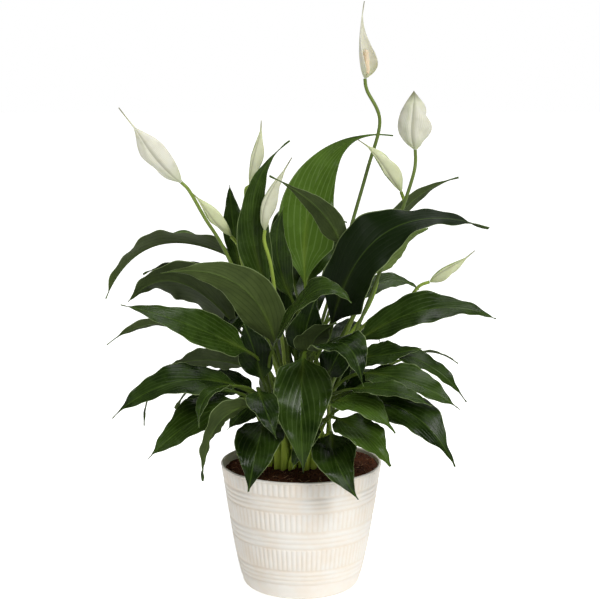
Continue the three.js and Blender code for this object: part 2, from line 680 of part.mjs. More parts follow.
function addMesh(name, shape, colour, roughness, at = { x: 0, y: 0 }) {
  const mesh = meshOf(name, geometryOfShape(shape), colour, roughness);
  mesh.position.set(at.x, at.y, 0);
  plant.add(mesh);
}

const hoodFace = vector([0.75, -0.65, 0]);
const spadixFoot = vector([2.4, -2.2, 4]);

for (const [number, through, baseList, middleList, tipList, width, tail] of bloomRows) {
  const base = vector(baseList);
  const middle = vector(middleList);
  const tip = vector(tipList);
  const heading = bloomCurve(base, middle, tip).getTangent(0);
  const stemAt = (place) => solidOf(stemShape(place, through, base, heading, clearance))
    .translate([place.x, place.y, 0]);
  const root = rootPlacesFor(through[0]).find((place) => isClear(stemAt(place)));
  root.free = false;
  holes.push({ root, radius: stemRadius });
  addMesh(`stem_${number}`, stemShape(root, through, base, heading), stemGreen, 0.5, root);
  keep(stemAt(root));
  if (number === '5') {
    addMesh(`bloom_${number}`, hoodShape(base, middle, tip, width, hoodFace), bloomWhite, 0.5);
    keep(solidOf(hoodShape(base, middle, tip, width, hoodFace, clearance)));
    const axis = bloomCurve(base, middle, tip).getTangent(0.3);
    addMesh(`spadix_${number}`, spadixShape(base.clone().add(spadixFoot), axis), spadixCream, 0.7);
  } else {
    addMesh(`bloom_${number}`, budShape(base, middle, tip, width, tail), bloomWhite, 0.5);
    keep(solidOf(budShape(base, middle, tip, width, tail, clearance)));
  }
}

leafRows.map(leafOf).forEach((leaf, index) => {
  const grown = (root, extra) => {
    const first = leafShape(leaf, root, null, extra);
    let whole = solidOf(first);
    sheathedRows.filter((row) => row[0] === leaf.name).forEach((row) => {
      const second = leafOf(row.slice(1), index + 0.5);
      whole = whole.add(solidOf(leafShape(second, root, first.sheath, extra)));
    });
    return whole;
  };
  const choices = rootPlacesFor(leaf.base).slice(0, rootChoices)
    .map((root) => ({ root, wide: grown(root, clearance) }));
  const placed = ({ root, wide }, angle) => wide.rotate([0, 0, angle]).translate([root.x, root.y, 0]);
  const sway = swaySteps.find((angle) => choices.some((choice) => isClear(placed(choice, angle)))) ?? 0;
  const choice = choices.find((option) => isClear(placed(option, sway))) ?? choices[0];
  const { root } = choice;
  root.free = false;
  holes.push({ root, radius: petioleRadius });
  keep(placed(choice, sway));
  const mesh = meshOf(`leaf_${leaf.name}`, geometryOfSolid(grown(root, 0)), leafGreen, 0.35);
  mesh.position.set(root.x, root.y, 0);
  mesh.rotation.z = THREE.MathUtils.degToRad(sway);
  plant.add(mesh);
});

// The soil: a crumbly disc that fills the pot, with a plain hole for each stalk and stem.
const crumbleSeed = 11;
const soilRings = [1, 0.8, 0.4];

function soilShape() {
  const random = makeRandom(crumbleSeed);
  const wallRadius = (height) => potRadius(height) - potWall - gap;
  const floorTop = footRounding + floorRise;
  const loops = [];
  loops.push(circle(footRadius - potWall - floorInset - gap, potWall + gap, potColumns));
  loops.push(circle(wallRadius(floorTop), floorTop, potColumns));
  loops.push(circle(wallRadius(potHeight / 2), potHeight / 2, potColumns));
  for (const share of soilRings) {
    loops.push(circle(wallRadius(soilEdge) * share, 0, potColumns)
      .map(([x, y]) => [x, y, soilHeight(x, y) + (share < 1 ? crumble * (random() - 0.5) : 0)]));
  }
  return loft(loops, fanCap([0, 0, potWall + gap], false), fanCap([0, 0, soilHeight(0, 0)], true));
}

let soil = solidOf(soilShape());
const holeSides = 5;
const holeDepth = rootDepth + 2;
for (const { root, radius } of holes) {
  const reach = (radius + gap) / Math.cos(Math.PI / holeSides);
  const low = soilHeight(root.x, root.y) - holeDepth;
  const high = low + 2 * holeDepth;
  const loops = [circle(reach, low, holeSides), circle(reach, high, holeSides)];
  const cutter = solidOf(loft(loops, fanCap([0, 0, low], false), fanCap([0, 0, high], true)));
  soil = soil.subtract(cutter.translate([root.x, root.y, 0]));
}
plant.add(meshOf('soil', geometryOfSolid(soil), soilBrown, 0.95));

export default plant;
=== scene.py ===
import math
from functools import partial

import bpy
import numpy as np
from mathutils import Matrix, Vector, noise


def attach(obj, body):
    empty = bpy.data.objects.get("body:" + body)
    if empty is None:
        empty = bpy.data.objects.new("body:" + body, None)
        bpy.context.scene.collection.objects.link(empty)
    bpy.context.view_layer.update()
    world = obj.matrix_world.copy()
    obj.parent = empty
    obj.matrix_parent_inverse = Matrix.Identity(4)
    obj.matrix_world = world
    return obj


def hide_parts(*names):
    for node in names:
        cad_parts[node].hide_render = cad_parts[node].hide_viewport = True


# A potted peace lily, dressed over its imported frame. Sizes are in millimetres, as in the frame's
# source, and each mesh turns them to metres as it is made. -Y is the side that is looked at.
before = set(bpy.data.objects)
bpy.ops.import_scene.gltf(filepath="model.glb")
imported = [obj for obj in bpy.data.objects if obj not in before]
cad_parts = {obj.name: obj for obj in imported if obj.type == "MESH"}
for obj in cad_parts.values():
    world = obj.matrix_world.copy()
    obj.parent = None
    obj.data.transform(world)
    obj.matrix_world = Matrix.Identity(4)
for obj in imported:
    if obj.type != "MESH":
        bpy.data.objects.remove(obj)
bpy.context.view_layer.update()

# ========================================
# The pot. One shell of injection-moulded polypropylene, 3 mm thick, with a rounded lip and foot.
# Its mould cuts three bands of upright flutes and three bands of rings into the wall, and painted
# shade darkens the grooves of that relief, leaving its high places clear.
rim_radius = 82.5
pot_height = 128.3
foot_radius = 60.5
foot_rounding = 7.4
pot_bulge = 2.2
pot_wall = 3.0
lip_radius = pot_wall / 2
relief_depth = 0.8
relief_roundness = 0.7
flute_count = 88
columns_per_flute = 7
flute_bands = [(33.4, 56.1), (75.4, 95.1), (112.5, 126.0)]
ring_bands = [(17.4, 32.0), (57.2, 73.4), (96.4, 110.6)]
rings_per_band = 3
steps_per_ring = 6
flute_end = 1.6
shoulder_place = 0.35
shoulder_rise = 0.7
plain_heights = (12.0, 16.6)
foot_steps = 7
lip_steps = 7
under_recess = 1.2
# The step from the sunken underside to the ring that the pot rests on, as radius and height.
under_rows = [(47.0, under_recess), (49.0, under_recess), (50.0, 0.3), (50.6, 0.0)]
floor_height = 15.4
floor_inset = 4.0
inner_heights = (122.0, 110.0, pot_height / 2, floor_height)
# How much painted shade lies on the foot, on the plain wall and in the deepest of the rings.
foot_painted_shade = 0.15
plain_painted_shade = 0.1
ring_painted_shade = 0.8
METRES_PER_MM = 0.001


def mix(start, end, share):
    return start + (end - start) * share


def smooth_step(value):
    value = np.clip(value, 0.0, 1.0)
    return value * value * (3.0 - 2.0 * value)


def pot_radius(height):
    share = np.clip((height - foot_rounding) / (pot_height - foot_rounding), 0.0, 1.0)
    return mix(foot_radius, rim_radius, share) + pot_bulge * np.sin(math.pi * share ** 0.6)


def turns_round(count):
    """Angles spaced evenly round a circle."""
    return np.arange(count) / count * 2 * math.pi


def grid_faces(rows, columns, closed, first=0):
    """Four-sided faces over rows of points, each row going round or from side to side."""
    row = np.arange(rows - 1)[:, None] * columns
    column = np.arange(columns if closed else columns - 1)[None, :]
    after = (column + 1) % columns
    corners = np.broadcast_arrays(row + column, row + after, row + columns + after,
                                  row + columns + column)
    return (first + np.stack([corner.ravel() for corner in corners], axis=-1)).tolist()


def round_faces(rows, columns, first=0):
    """The skin over rows that go round, with a fan at each end to the two points after them."""
    start = first + rows * columns
    faces = grid_faces(rows, columns, closed=True, first=first)
    for ring, middle, step in [(first, start, -1), (start - columns, start + 1, 1)]:
        for side in range(columns):
            pair = [ring + side, ring + (side + 1) % columns][::step]
            faces.append((*pair, middle))
    return faces


def add_object(name, data):
    made = bpy.data.objects.new(name, data)
    bpy.context.scene.collection.objects.link(made)
    return made


def make_piece(name, points, faces, material, slot, replaced=(), smooth=True, **layers):
    """Makes an object from points in millimetres. Each layer is kept as a point attribute."""
    mesh = bpy.data.meshes.new(name)
    mesh.from_pydata((np.asarray(points, float) * METRES_PER_MM).tolist(), [], faces)
    mesh.validate()
    mesh.shade_smooth() if smooth else mesh.shade_flat()
    for label, values in layers.items():
        values = np.asarray(values, np.float32)
        wide = values.ndim == 2
        layer = mesh.attributes.new(label, "FLOAT_VECTOR" if wide else "FLOAT", "POINT")
        layer.data.foreach_set("vector" if wide else "value", values.ravel())
    mesh.materials.append(material)
    piece = add_object(name, mesh)
    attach(piece, "root")
    if replaced:
        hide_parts(*replaced)


def linear(hex_colour):
    """An sRGB colour such as '#eee8dc' as linear red, green, blue and alpha."""
    values = [int(hex_colour[place:place + 2], 16) / 255 for place in (1, 3, 5)]
    return [v / 12.92 if v <= 0.04045 else ((v + 0.055) / 1.055) ** 2.4 for v in values] + [1.0]


def per_metre(size):
    """How often a pattern of this size in millimetres repeats in a metre."""
    return 1 / (size * METRES_PER_MM)


def add_node(tree, kind, inputs=(), stops=(), **settings):
    """Adds a node with its settings and its inputs, by name or in the order of those in use. An
    input gets a value, a hex colour, or a link from a socket or a node's first output in use."""
    node = tree.nodes.new("ShaderNode" + kind)
    for name, value in settings.items():
        setattr(node, name, value)
    if not isinstance(inputs, dict):
        in_use = [place for place, socket in enumerate(node.inputs) if socket.enabled]
        inputs = dict(zip(in_use, inputs))
    for key, value in inputs.items():
        if isinstance(value, bpy.types.Node):
            value = next(socket for socket in value.outputs if socket.enabled)
        if isinstance(value, bpy.types.NodeSocket):
            tree.links.new(value, node.inputs[key])
        else:
            node.inputs[key].default_value = linear(value) if isinstance(value, str) else value
    # A new ramp already has its first and its last stop, and keeps its stops in order.
    for place, (position, colour) in enumerate(stops):
        ramp = node.color_ramp.elements
        stop = ramp[-place] if place < 2 else ramp.new(position)
        stop.position, stop.color = position, linear(colour) if isinstance(colour, str) else colour
    return node


def adder(tree):
    """Empties a tree, and makes the function that adds nodes to it."""
    tree.nodes.clear()
    return partial(add_node, tree)


def start_material(name):
    """A new material, what adds nodes to it, and the place of each point on its object."""
    material = bpy.data.materials.new(name)
    material.use_nodes = True
    add = adder(material.node_tree)
    return material, add, add("TexCoord").outputs["Object"]


def end_material(add, colour, roughness, ior, relief, strength, depth, more=None):
    """Gives a material its surface, with a relief of this depth in millimetres on it."""
    bump = add("Bump", {"Height": relief, "Strength": strength, "Distance": depth * METRES_PER_MM})
    shader = add("BsdfPrincipled", {"Base Color": colour, "Roughness": roughness, "IOR": ior,
                                    "Normal": bump, **(more or {})})
    add("OutputMaterial", [shader])


# Moulded polypropylene: a dielectric of IOR 1.49 whose fine spark-eroded grain makes it matte. It
# gives the eye a warm cream with faint cloudy patches, and painted shade darkens its grooves to
# beige.
# (In a MapRange's list, its value is followed by the range it comes from and the one it goes to,
# and in a TexNoise's, its place by its scale, detail and roughness.)
pot_cream = "#f3efe8"
pot_groove_shade = "#eadecd"
pot_cloud = "#f2e9dd"
pot_cloud_size = 26.0
pot_grain_size = 0.9

pot_plastic, add, place = start_material("moulded_polypropylene_with_painted_groove_shade")
groove = add("Attribute", attribute_name="groove").outputs["Fac"]
cloud = add("TexNoise", [place, per_metre(pot_cloud_size), 3.0, 0.6])
grain = add("TexNoise", [place, per_metre(pot_grain_size), 2.0])
cloudy = add("MapRange", [cloud, 0.4, 0.68])
uneven = add("MapRange", [cloud, 0.3, 0.7, 0.35, 0.9])
# Painted shade: beige darkens the grooves, unevenly in cloudy patches.
groove_shade_amount = add("Math", [groove, uneven], operation="MULTIPLY")
colour = pot_cream
for amount, tint in [(cloudy, pot_cloud), (groove_shade_amount, pot_groove_shade)]:
    colour = add("Mix", [amount, colour, tint], data_type="RGBA")
gloss = add("MapRange", [grain, 0.0, 1.0, 0.5, 0.68])
end_material(add, colour, gloss, 1.49, grain, 0.12, 0.3)

# The wall is a stack of rows from the underside, up the outside, over the lip and down inside. Each
# row is a radius, a height, how far its flutes stand out, and how much painted shade it gets.
pot_rows = [(radius, height, 0, 0) for radius, height in under_rows]
for step in range(foot_steps + 1):
    angle = step / foot_steps * math.pi / 2
    pot_rows.append((foot_radius - foot_rounding * (1 - math.sin(angle)),
                     foot_rounding * (1 - math.cos(angle)), 0, foot_painted_shade))
pot_rows += [(pot_radius(height), height, 0, plain_painted_shade) for height in plain_heights]
for (ring_low, ring_high), (flute_low, flute_high) in zip(ring_bands, flute_bands):
    ring_steps = rings_per_band * steps_per_ring
    for step in range(ring_steps + 1):
        height = mix(ring_low, ring_high, step / ring_steps)
        swell = abs(math.sin(rings_per_band * math.pi * step / ring_steps)) ** relief_roundness
        pot_rows.append((pot_radius(height) - relief_depth * (1 - swell), height, 0,
                         ring_painted_shade * (1 - swell)))
    middle = (flute_low + flute_high) / 2
    shoulder = shoulder_place * flute_end
    for height, amount in [(flute_low, 0), (flute_low + shoulder, shoulder_rise),
                           (flute_low + flute_end, 1), (mix(flute_low, middle, 0.6), 1),
                           (mix(middle, flute_high, 0.4), 1), (flute_high - flute_end, 1),
                           (flute_high - shoulder, shoulder_rise), (flute_high, 0)]:
        pot_rows.append((pot_radius(height) - relief_depth, height, amount, 1 - amount))
for step in range(lip_steps + 1):
    angle = step / lip_steps * math.pi
    pot_rows.append((rim_radius - lip_radius * (1 - math.cos(angle)),
                     pot_height - lip_radius * (1 - math.sin(angle)), 0, 0))
pot_rows += [(pot_radius(height) - pot_wall, height, 0, 0) for height in inner_heights]
pot_rows.append((foot_radius - pot_wall - floor_inset, pot_wall, 0, 0))

pot_columns = flute_count * columns_per_flute
turn = turns_round(pot_columns)
flute_swell = np.abs(np.sin(turn * flute_count / 2)) ** relief_roundness
radius, height, amount, depth = (np.array(values)[:, None] for values in zip(*pot_rows))
reach = radius + relief_depth * amount * flute_swell
pot_points = np.stack([reach * np.cos(turn), reach * np.sin(turn),
                       np.broadcast_to(height, reach.shape)], axis=-1).reshape(-1, 3)
pot_points = np.vstack([pot_points, [[0, 0, under_recess], [0, 0, pot_wall]]])
# Painted shade: each row's amount, plus the hollows between the flutes.
pot_groove = np.append((depth + amount * (1 - flute_swell)).ravel(), [0, 0])
make_piece("pot_shell", pot_points, round_faces(len(pot_rows), pot_columns), pot_plastic, "pot",
           ["pot"], groove=pot_groove)

# ========================================
# The soil. Damp coarse peat, filled to just under the rim and mounded round the crowns. Its top is
# lumps and crumbs, with pale root fibres and a few chips of bark lying on it.
soil_edge = 121.5
soil_mound = 6.0
soil_slope = 0.03
soil_gap = 0.3
soil_rings = 84
soil_columns = 264
# The lumps of the soil's top: how wide and how high each kind is.
lump_sizes = [(15.0, 1.5), (5.5, 0.9), (2.2, 0.5)]
soil_seed = 11


def soil_height(x, y):
    share = np.hypot(x, y) / rim_radius
    return soil_edge + soil_slope * x + soil_mound * np.maximum(0.0, 1.0 - share * share)


def lumpy_height(x, y):
    """The height of the soil's top with its lumps."""
    return float(soil_height(x, y)) + sum(
        high * noise.noise(Vector((x / wide, y / wide, wide))) for wide, high in lump_sizes)


# Damp peat: a rough, light-drinking surface of IOR about 1.4. Wet humus gives the eye a deep
# reddish brown, nearly black in the hollows, and drier crumbs a lighter brown.
peat_dark = "#22110a"
peat_brown = "#522c18"
peat_dry = "#6d4226"
peat_grain_size = 2.2
peat_patch_size = 12.0

damp_peat, add, place = start_material("damp_coarse_peat")
tone = add("Attribute", attribute_name="tone").outputs["Fac"]
grain = add("TexNoise", [place, per_metre(peat_grain_size), 4.0, 0.65])
patch = add("TexNoise", [place, per_metre(peat_patch_size), 2.0])
shade = add("Math", [grain, tone], operation="ADD")
shade = add("Math", [patch, 0.5, shade], operation="MULTIPLY_ADD")
colour = add("ValToRGB", [shade], [(0.45, peat_dark), (0.8, peat_brown), (1.0, peat_dry)])
end_material(add, colour, 0.9, 1.4, grain, 0.7, 1.2, {"Specular IOR Level": 0.3})

wall_reach = pot_radius(soil_edge) - pot_wall - soil_gap
turn = turns_round(soil_columns)
soil_points = []
for wall, level in [(foot_radius - floor_inset, pot_wall + soil_gap),
                    (pot_radius(floor_height), floor_height),
                    (pot_radius(pot_height / 2), pot_height / 2)]:
    reach = wall - pot_wall - soil_gap
    soil_points += [(reach * math.cos(angle), reach * math.sin(angle), level) for angle in turn]
for ring in range(soil_rings):
    reach = wall_reach * (1 - ring / soil_rings)
    for angle in turn:
        x, y = reach * math.cos(angle), reach * math.sin(angle)
        soil_points.append((x, y, lumpy_height(x, y)))
soil_points += [(0, 0, pot_wall + soil_gap), (0, 0, lumpy_height(0, 0))]
make_piece("soil_bed", soil_points, round_faces(3 + soil_rings, soil_columns), damp_peat, "soil",
           ["soil"], tone=np.zeros(len(soil_points)))


def strew(name, material, count, size_range, shape, seed, sink):
    """Strews rough lumps over the soil: icosahedra, each turned, stretched and dented."""
    random = np.random.default_rng(seed)
    golden = (1 + 5 ** 0.5) / 2
    corners = np.array([(0, a, b * golden) for a in (-1, 1) for b in (-1, 1)])
    corners = np.vstack([corners, corners[:, [1, 2, 0]], corners[:, [2, 0, 1]]])
    corners = corners / np.linalg.norm(corners[0])
    near = np.linalg.norm(corners[:, None] - corners[None], axis=-1) < 1.1
    triangles = [(a, b, c) for a in range(12) for b in range(a + 1, 12) for c in range(b + 1, 12)
                 if near[a, b] and near[b, c] and near[a, c]]
    triangles = [(a, b, c) if np.dot(np.cross(corners[b] - corners[a], corners[c] - corners[a]),
                                     corners[a]) > 0 else (a, c, b) for a, b, c in triangles]
    points, faces, tones = [], [], []
    for piece in range(count):
        reach = (wall_reach - 2) * math.sqrt(random.random())
        angle = random.random() * 2 * math.pi
        x, y = reach * math.cos(angle), reach * math.sin(angle)
        size = mix(*size_range, random.random() ** 2.2) * np.array(shape)
        size = size * random.uniform(0.75, 1.25, 3) / 2
        turned = np.linalg.qr(random.normal(size=(3, 3)))[0]
        turned = turned * np.sign(np.linalg.det(turned))
        dents = random.uniform(0.75, 1.2, (12, 1))
        level = lumpy_height(x, y) + sink * size.max()
        points.append((corners * dents * size) @ turned + (x, y, level))
        faces += [tuple(12 * piece + corner for corner in triangle) for triangle in triangles]
        tones += [random.uniform(-0.12, 0.22)] * 12
    make_piece(name, np.vstack(points), faces, material, "soil", smooth=False, tone=tones)


crumb_count = 3200
crumb_size = (0.5, 2.6)
crumb_shape = (1.0, 0.8, 0.7)
strew("peat_crumbs", damp_peat, crumb_count, crumb_size, crumb_shape, soil_seed, sink=0.3)

# ========================================
# Bark chips and root fibres. Composted conifer bark and dry peat fibre lie loose on the soil. Both
# stay a pale dusty tan beside the wet peat.
chip_count = 110
chip_size = (0.9, 2.6)
chip_shape = (1.3, 0.7, 0.35)
fibre_count = 150
fibre_length = (4.0, 11.0)
fibre_radius = (0.16, 0.34)
fibre_arch = 0.8
fibre_lift = 0.2
fibre_steps = 7
fibre_sides = 5

# Dry bark: dull wood fibre of IOR 1.45, without wax or water on it. It gives the eye a dusty tan
# with a fine brown grain.
chip_tan = "#a58363"
chip_brown = "#6b4227"
chip_grain_size = 0.8

dry_bark, add, place = start_material("dry_composted_bark")
tone = add("Attribute", attribute_name="tone").outputs["Fac"]
grain = add("TexNoise", [place, per_metre(chip_grain_size), 3.0])
shade = add("Math", [tone, 2.0, grain], operation="MULTIPLY_ADD")
colour = add("ValToRGB", [shade], [(0.3, chip_brown), (0.8, chip_tan)])
end_material(add, colour, 0.82, 1.45, grain, 0.5, 0.4)

strew("bark_chips", dry_bark, chip_count, chip_size, chip_shape, soil_seed + 1, sink=0.2)


def unit(vector):
    return vector / np.linalg.norm(vector)


def tangents_of(points):
    steps = np.gradient(points, axis=0)
    return steps / np.linalg.norm(steps, axis=1, keepdims=True)


def carry_sides(tangents, first_side):
    """Sides and normals square to each tangent, turned as little as possible along a line."""
    sides = []
    side = np.asarray(first_side, float)
    for tangent in tangents:
        side = unit(side - np.dot(side, tangent) * tangent)
        sides.append(side)
    sides = np.array(sides)
    return sides, np.cross(tangents, sides)


def ring_points(centres, sides, normals, reach, angle, flatness=1):
    """Rows of points that go round a line, and then the line's two ends."""
    rings = centres[:, None] + reach[..., None] * (
        sides[:, None] * np.cos(angle)[..., None]
        + flatness * normals[:, None] * np.sin(angle)[..., None])
    return np.vstack([rings.reshape(-1, 3), centres[:1], centres[-1:]])


def tube(centres, radii, sides_round, first_side=(1, 0, 0), first=0):
    """A round tube along a line, closed at both ends: its points and faces."""
    centres = np.asarray(centres, float)
    reach = np.broadcast_to(radii, len(centres))[:, None]
    frames = carry_sides(tangents_of(centres), first_side)
    points = ring_points(centres, *frames, reach, turns_round(sides_round))
    return points, round_faces(len(centres), sides_round, first)


random = np.random.default_rng(soil_seed + 2)
fibre_points, fibre_faces, fibre_tones = [], [], []
for index in range(fibre_count):
    reach = (wall_reach - 6) * math.sqrt(random.random())
    angle, heading, curl = random.uniform(0, 2 * math.pi, 3)
    step_length = random.uniform(*fibre_length) / fibre_steps
    x, y = reach * math.cos(angle), reach * math.sin(angle)
    line = []
    for step in range(fibre_steps):
        if math.hypot(x, y) > wall_reach - 1:
            break
        arch = math.sin(math.pi * step / (fibre_steps - 1)) * random.uniform(0.3, 1.2)
        line.append((x, y, lumpy_height(x, y) + fibre_lift + fibre_arch * arch))
        heading += random.normal(0, 0.3) + 0.12 * math.cos(curl)
        x += step_length * math.cos(heading)
        y += step_length * math.sin(heading)
    if len(line) < 4:
        continue
    made, faces = tube(line, random.uniform(*fibre_radius), fibre_sides, (0, 0, 1),
                       first=sum(len(points) for points in fibre_points))
    fibre_points.append(made)
    fibre_faces += faces
    fibre_tones += [random.uniform(-0.2, 0.25)] * len(made)
make_piece("peat_fibres", np.vstack(fibre_points), fibre_faces, dry_bark, "soil",
           tone=fibre_tones)

# ========================================
# The flower stems. Each is one smooth round scape, 3.8 mm thick, solid and juicy, that comes up
# through the soil and stands free among the leaves up to its bloom.
stem_radius = 1.9
stem_top_radius = 1.7
foot_swell = 0.25
foot_swell_reach = 0.06
root_depth = 22.0
standing = 3.0
stem_upright = 16.0
stem_in_line = 12.0
stem_steps = 14
stem_sides = 16
pale_foot_reach = 0.12
# Each bloom: its number, the points its stem passes through, its base, middle and tip, its greatest
# width, the share of its length that is a thin tail, how green it is and how young its stem is.
bloom_rows = [
    ("1", [(-20, -4, 215), (-71, -14, 337), (-95, -24, 381)],
     (-117, -30, 416), (-147, -32, 451), (-176, -34, 488), 25, 0.2, 0.1, 0.25),
    ("2", [(-24, 6, 215), (-44, 8, 263), (-59, 4, 331)],
     (-70, -2, 360), (-89, -4, 384), (-110, -6, 405), 13, 0.1, 0.75, 0.7),
    ("3", [(-14, 12, 230), (-46, 14, 336)],
     (-52, 14, 410), (-43, 13, 444), (-40, 12, 475), 12, 0.1, 0.5, 0.6),
    ("4", [(-17, -8, 230), (-24, -18, 288), (-30, -22, 333)],
     (-36, -22, 368), (-29, -26, 401), (-9, -30, 440), 14, 0.1, 0.35, 0.7),
    ("5", [(8, 6, 215), (47, 4, 358), (66, 4, 426), (78, 4, 474)],
     (63, 6, 516), (59, 6, 554), (62, 6, 591), 21, 0.1, 0.1, 0.1),
    ("6", [(20, -8, 180), (54, -24, 266), (75, -24, 319), (100, -22, 391), (110, -18, 422)],
     (112, -14, 447), (111, -14, 476), (110, -14, 504), 33, 0, 0.15, 0.05),
    ("7", [(18, 2, 180), (46, -8, 263), (73, -10, 325), (96, -10, 380)],
     (99, -10, 405), (84, -12, 433), (55, -14, 457), 15, 0.1, 0.6, 0.5),
    ("8", [(30, 8, 200), (60, 10, 263), (104, 12, 290)],
     (130, 6, 313), (150, 5, 325), (175, 4, 345), 12, 0.1, 0.7, 0.5),
]


def node_points(node):
    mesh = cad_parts[node].data
    places = np.zeros(3 * len(mesh.vertices))
    mesh.vertices.foreach_get("co", places)
    return places.reshape(-1, 3) / METRES_PER_MM


def root_of(node):
    """Where a stalk stands in the soil: the middle of its CAD node's lowest ring."""
    points = node_points(node)
    lowest = points[points[:, 2] < points[:, 2].min() + 0.05]
    return np.unique(np.round(lowest, 2), axis=0).mean(axis=0)[:2]


def bezier(points, share):
    """A curve bent toward the points between its ends, at each share of its way."""
    share = np.asarray(share, float)[:, None]
    points = [np.asarray(point, float) for point in points]
    while len(points) > 1:
        points = [mix(a, b, share) for a, b in zip(points, points[1:])]
    return points[0]


def through_middle(base, middle, tip):
    """The three points of the curve that goes from base to tip and passes by middle."""
    base, middle, tip = (np.array(point, float) for point in (base, middle, tip))
    return [base, 2 * middle - 0.5 * base - 0.5 * tip, tip]


def smooth_line(points, steps):
    """A line that passes smoothly through all the points."""
    points = [np.array(point, float) for point in points]
    points = [2 * points[0] - points[1]] + points + [2 * points[-1] - points[-2]]
    line = []
    for before, start, end, after in zip(points, points[1:], points[2:], points[3:]):
        leave, arrive = 0.5 * (end - before), 0.5 * (after - start)
        for step in range(steps):
            t = step / steps
            line.append(start + leave * t + (3 * (end - start) - 2 * leave - arrive) * t ** 2
                        + (2 * (start - end) + leave + arrive) * t ** 3)
    return np.array(line + [points[-2]])


# Living scape: juicy green tissue under a thin natural wax, IOR 1.4. It gives the eye a soft satin
# sheen, yellow-green where young and olive where older, with faint streaks along its length.
stem_olive = "#5c6f30"
stem_bright = "#a9c24c"
stem_foot = "#b9cc66"
streak_width = 10 / 9
streak_length = 30.0

stem_tissue, add, place = start_material("waxy_scape_tissue")
look = add("Attribute", attribute_name="stem_look").outputs["Vector"]
youth, at_foot, along_it = add("SeparateXYZ", [look]).outputs
streak_scale = (per_metre(streak_width), per_metre(streak_width), per_metre(streak_length))
stretched = add("Mapping", {"Vector": place, "Scale": streak_scale})
streak = add("TexNoise", [stretched, 1.0, 2.0])
vary = add("MapRange", [streak, 0.3, 0.7, 0.82, 1.1])
colour = stem_olive
for amount, tint in [(youth, stem_bright), (at_foot, stem_foot)]:
    colour = add("Mix", [amount, colour, tint], data_type="RGBA")
colour = add("HueSaturation", {"Color": colour, "Value": vary})
end_material(add, colour, 0.42, 1.4, streak, 0.25, 0.3)

for number, through, base, middle, tip, width, tail, green, stem_young in bloom_rows:
    node = "stem_" + number
    root = root_of(node)
    ground = float(soil_height(*root))
    heading = unit(through_middle(base, middle, tip)[1] - np.array(base, float))
    foot = np.array([*root, ground + standing])
    top = np.array(base, float)
    line = smooth_line([foot, foot + (0, 0, stem_upright), *through,
                        top - stem_in_line * heading, top], stem_steps)
    line = np.vstack([[(*root, ground - root_depth)], line])
    share = np.linspace(0, 1, len(line))
    swell = 1 + foot_swell * np.exp(-(share / foot_swell_reach) ** 2)
    points, faces = tube(line, mix(stem_radius, stem_top_radius, share) * swell, stem_sides)
    share = np.append(np.repeat(share, stem_sides), [0, 1])
    look = np.stack([stem_young + 0.1 * np.sin(9 * share),
                     np.exp(-(share / pale_foot_reach) ** 2), share], axis=-1)
    make_piece("flower_" + node, points, faces, stem_tissue, "stem", [node], stem_look=look)

# ========================================
# The young blooms. Each is a spathe, a thin white leaf still rolled round its spadix, so that one
# edge laps over the other and a groove winds along it. It grows straight out of its stem.
bud_rows = 60
bud_sides = 40
bud_flatness = 0.64
bud_widest = 0.4
bud_bluntness = 0.7
bud_neck = 0.16
least_bud = 0.45
tail_swell = 2.6
bud_gap = 0.3
# The lap: the share of a turn from edge to edge, the inner edge's radius as a share of the bud's,
# how much that grows up to the outer edge, where, how far and how often the outer edge curls out,
# and how many turns both wind on the way to the tip.
lap_span = 0.985
lap_start = 0.84
lap_rise = 0.2
curl_start = 0.88
lap_curl = 0.1
curls_along = 19
lap_turns = 0.06
# The shares of its length, from its base and from its tip, over which a bud turns plain and round.
plain_base = 0.15
plain_tip = 0.12
bud_pleats = 9
pleat_depth = 0.014
crumple_depth = 0.1
crumple_turns = 13
crumple_shift = 0.6
lobe_depth = 0.9
# Where round each bud its two edges lie, in turns: on the front of the two whitest ones, and along
# the left side of the others.
front_lap = 0.68
side_lap = 0.6
lap_places = {"1": front_lap, "6": front_lap}
# The side of each bud whose edge is lobed: -1 for the left, and 1, the usual one, for the right.
lobed_sides = {"1": -1, "2": -1}


def bud_width_share(share, tail):
    """A bud's width along it: a blunt base, a swollen body and a thin tail."""
    swelling = np.sin(math.pi / 2 * np.minimum(1, share / bud_widest)) ** bud_bluntness
    along = np.clip((share - bud_widest) / (1 - tail - bud_widest), 0, 1)
    narrowing = np.maximum(0, np.cos(math.pi / 2 * along)) ** (1 + 2.5 * tail)
    return np.maximum(bud_neck * (1 - share), swelling * narrowing)


def grey(value):
    return value, value, value, 1.0


# Spathe tissue: a leaf with hardly any green in it, 0.5 mm thick, IOR 1.4. Its air-filled cells
# give the eye a soft milky white with some glow, and its veins, base, edge and tail stay greenish.
spathe_white = "#e4e0d8"
spathe_cream = "#d6dea6"
spathe_green = "#a5b866"
spathe_shade = "#b9b49c"
spathe_margin = "#6f8a2f"
# The olive of the tail's dried end, used also as the painted shadow under the lap.
spathe_dry_tip_and_lap_shadow = "#6a6a44"
spathe_veins = 46.0
blotch_size = 7.0
spine_place = 0.42

